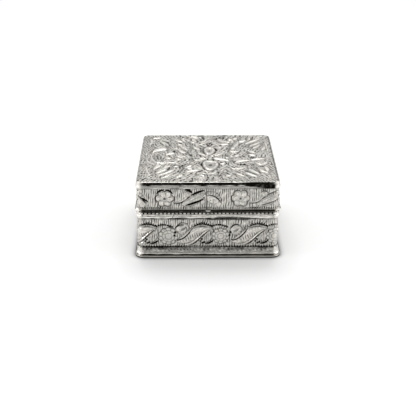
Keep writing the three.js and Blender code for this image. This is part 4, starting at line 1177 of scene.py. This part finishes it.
# Floor, light and camera
# The box stands on a sheet of matt white paper, in a pale tent whose side behind the camera is
# dark. A large soft lamp hangs behind and over the box, and a small one stands at each side.
camera_place = np.array([-4.57, -347.4, 165.1])
camera_tilt = 65.88
camera_turn = -0.745
camera_roll = -0.17
camera_lens = 71.5
floor_half = 6000.0
white_from = 180
white_to = 700


def stage_floor():
    """A flat square of paper. Close to the box its colour is darkened twice by occlusion, within 3
    mm and within 1.5 mm, a painted shadow where the box shuts the light out. Far away it fades to
    plain white, for the camera and for what mirrors it, so that no line shows where it ends."""
    corners = floor_half * np.array([[-1, -1, 0], [1, -1, 0], [1, 1, 0], [-1, 1, 0]])
    floor = mesh_piece("floor", corners, [[0, 1, 2, 3]])
    paper = bpy.data.materials.new("white paper")
    paper.use_nodes = True
    tree = paper.node_tree
    shader = tree.nodes["Principled BSDF"]
    shader.inputs["Roughness"].default_value = 0.9
    shader.inputs["Specular IOR Level"].default_value = 0.0
    # Occlusion darkens the paper's colour: a painted contact shadow
    wide = add(tree, "ShaderNodeAmbientOcclusion", {"Color": linear("#F2F2F2"), "Distance": 3 * mm})
    close = add(
        tree, "ShaderNodeAmbientOcclusion", {"Distance": 1.5 * mm}, {"Color": wide.outputs["Color"]}
    )
    tree.links.new(close.outputs["Color"], shader.inputs["Base Color"])
    place = add(tree, "ShaderNodeTexCoord")
    distance = add(tree, "ShaderNodeVectorMath", {"operation": "LENGTH"}, {0: place.outputs["Object"]})
    far = add(
        tree, "ShaderNodeMapRange", {"From Min": white_from * mm, "From Max": white_to * mm},
        {"Value": distance.outputs["Value"]},
    )
    ray = add(tree, "ShaderNodeLightPath").outputs
    mirrored = add(
        tree, "ShaderNodeMath", {"operation": "MAXIMUM"},
        {0: ray["Is Glossy Ray"], 1: ray["Is Transmission Ray"]},
    )
    seen = add(
        tree, "ShaderNodeMath", {"operation": "MAXIMUM"},
        {0: ray["Is Camera Ray"], 1: mirrored.outputs["Value"]},
    )
    share = add(
        tree, "ShaderNodeMath", {"operation": "MULTIPLY"},
        {0: far.outputs["Result"], 1: seen.outputs["Value"]},
    )
    white = add(tree, "ShaderNodeEmission", {"Color": (1, 1, 1, 1), "Strength": 1.0})
    blend = add(
        tree, "ShaderNodeMixShader", {},
        {0: share.outputs["Value"], 1: shader.outputs["BSDF"], 2: white.outputs["Emission"]},
    )
    tree.links.new(blend.outputs["Shader"], tree.nodes["Material Output"].inputs["Surface"])
    floor.data.materials.append(paper)


stage_floor()


def lamp(name, place, size, power, aim):
    """A square soft light at a place in mm that looks at another place."""
    light = bpy.data.lights.new(name, "AREA")
    light.shape = "RECTANGLE"
    light.size = size[0] * mm
    light.size_y = size[1] * mm
    light.energy = power
    holder = bpy.data.objects.new(name, light)
    bpy.context.scene.collection.objects.link(holder)
    holder.location = Vector(place) * mm
    holder.rotation_mode = "QUATERNION"
    holder.rotation_quaternion = (Vector(aim) * mm - holder.location).to_track_quat("-Z", "Y")


lamp("overhead soft light", (0, 380, 760), (500, 420), 2.75, (0, 0, 0))
lamp("left soft light", (-700, -60, 300), (220, 220), 1.1, (0, 0, 20))
lamp("right soft light", (700, -60, 300), (220, 220), 1.1, (0, 0, 20))

# The tent lights the box at 0.62 to 0.95, rising to the top, and dims to 0.12 of that on the
# camera's side. Silver mirrors it as white, with the same dark side, and the camera sees white
world = bpy.data.worlds.new("studio")
bpy.context.scene.world = world
world.use_nodes = True
sky = world.node_tree
direction = add(sky, "ShaderNodeTexCoord")
axes = add(sky, "ShaderNodeSeparateXYZ", {}, {"Vector": direction.outputs["Generated"]})
front = add(
    sky, "ShaderNodeMapRange", {"From Min": -0.95, "From Max": -0.7, "To Min": 0.12, "To Max": 1.0},
    {"Value": axes.outputs["Y"]},
)
rise = add(
    sky, "ShaderNodeMapRange", {"From Min": 0.0, "From Max": 1.0, "To Min": 0.62, "To Max": 0.95},
    {"Value": axes.outputs["Z"]},
)
tent = add(
    sky, "ShaderNodeMath", {"operation": "MULTIPLY"}, {0: front.outputs["Result"], 1: rise.outputs["Result"]}
)
ray = add(sky, "ShaderNodeLightPath").outputs
mirrored = add(
    sky, "ShaderNodeMath", {"operation": "MAXIMUM"}, {0: ray["Is Glossy Ray"], 1: ray["Is Transmission Ray"]}
)
around = add(
    sky, "ShaderNodeMix", {"data_type": "FLOAT"},
    {0: mirrored.outputs["Value"], 2: tent.outputs["Value"], 3: front.outputs["Result"]},
)
strength = add(
    sky, "ShaderNodeMix", {"data_type": "FLOAT", 3: 1.0}, {0: ray["Is Camera Ray"], 2: around.outputs[0]}
)
background = sky.nodes["Background"]
background.inputs["Color"].default_value = (1, 1, 1, 1)
sky.links.new(strength.outputs[0], background.inputs["Strength"])

camera = bpy.data.objects.new("camera", bpy.data.cameras.new("camera"))
camera.data.lens = camera_lens
camera.location = camera_place * mm
camera.rotation_euler = np.radians((camera_tilt, camera_roll, camera_turn))
bpy.context.scene.collection.objects.link(camera)
bpy.context.scene.camera = camera
bpy.context.scene.view_settings.view_transform = "Standard"
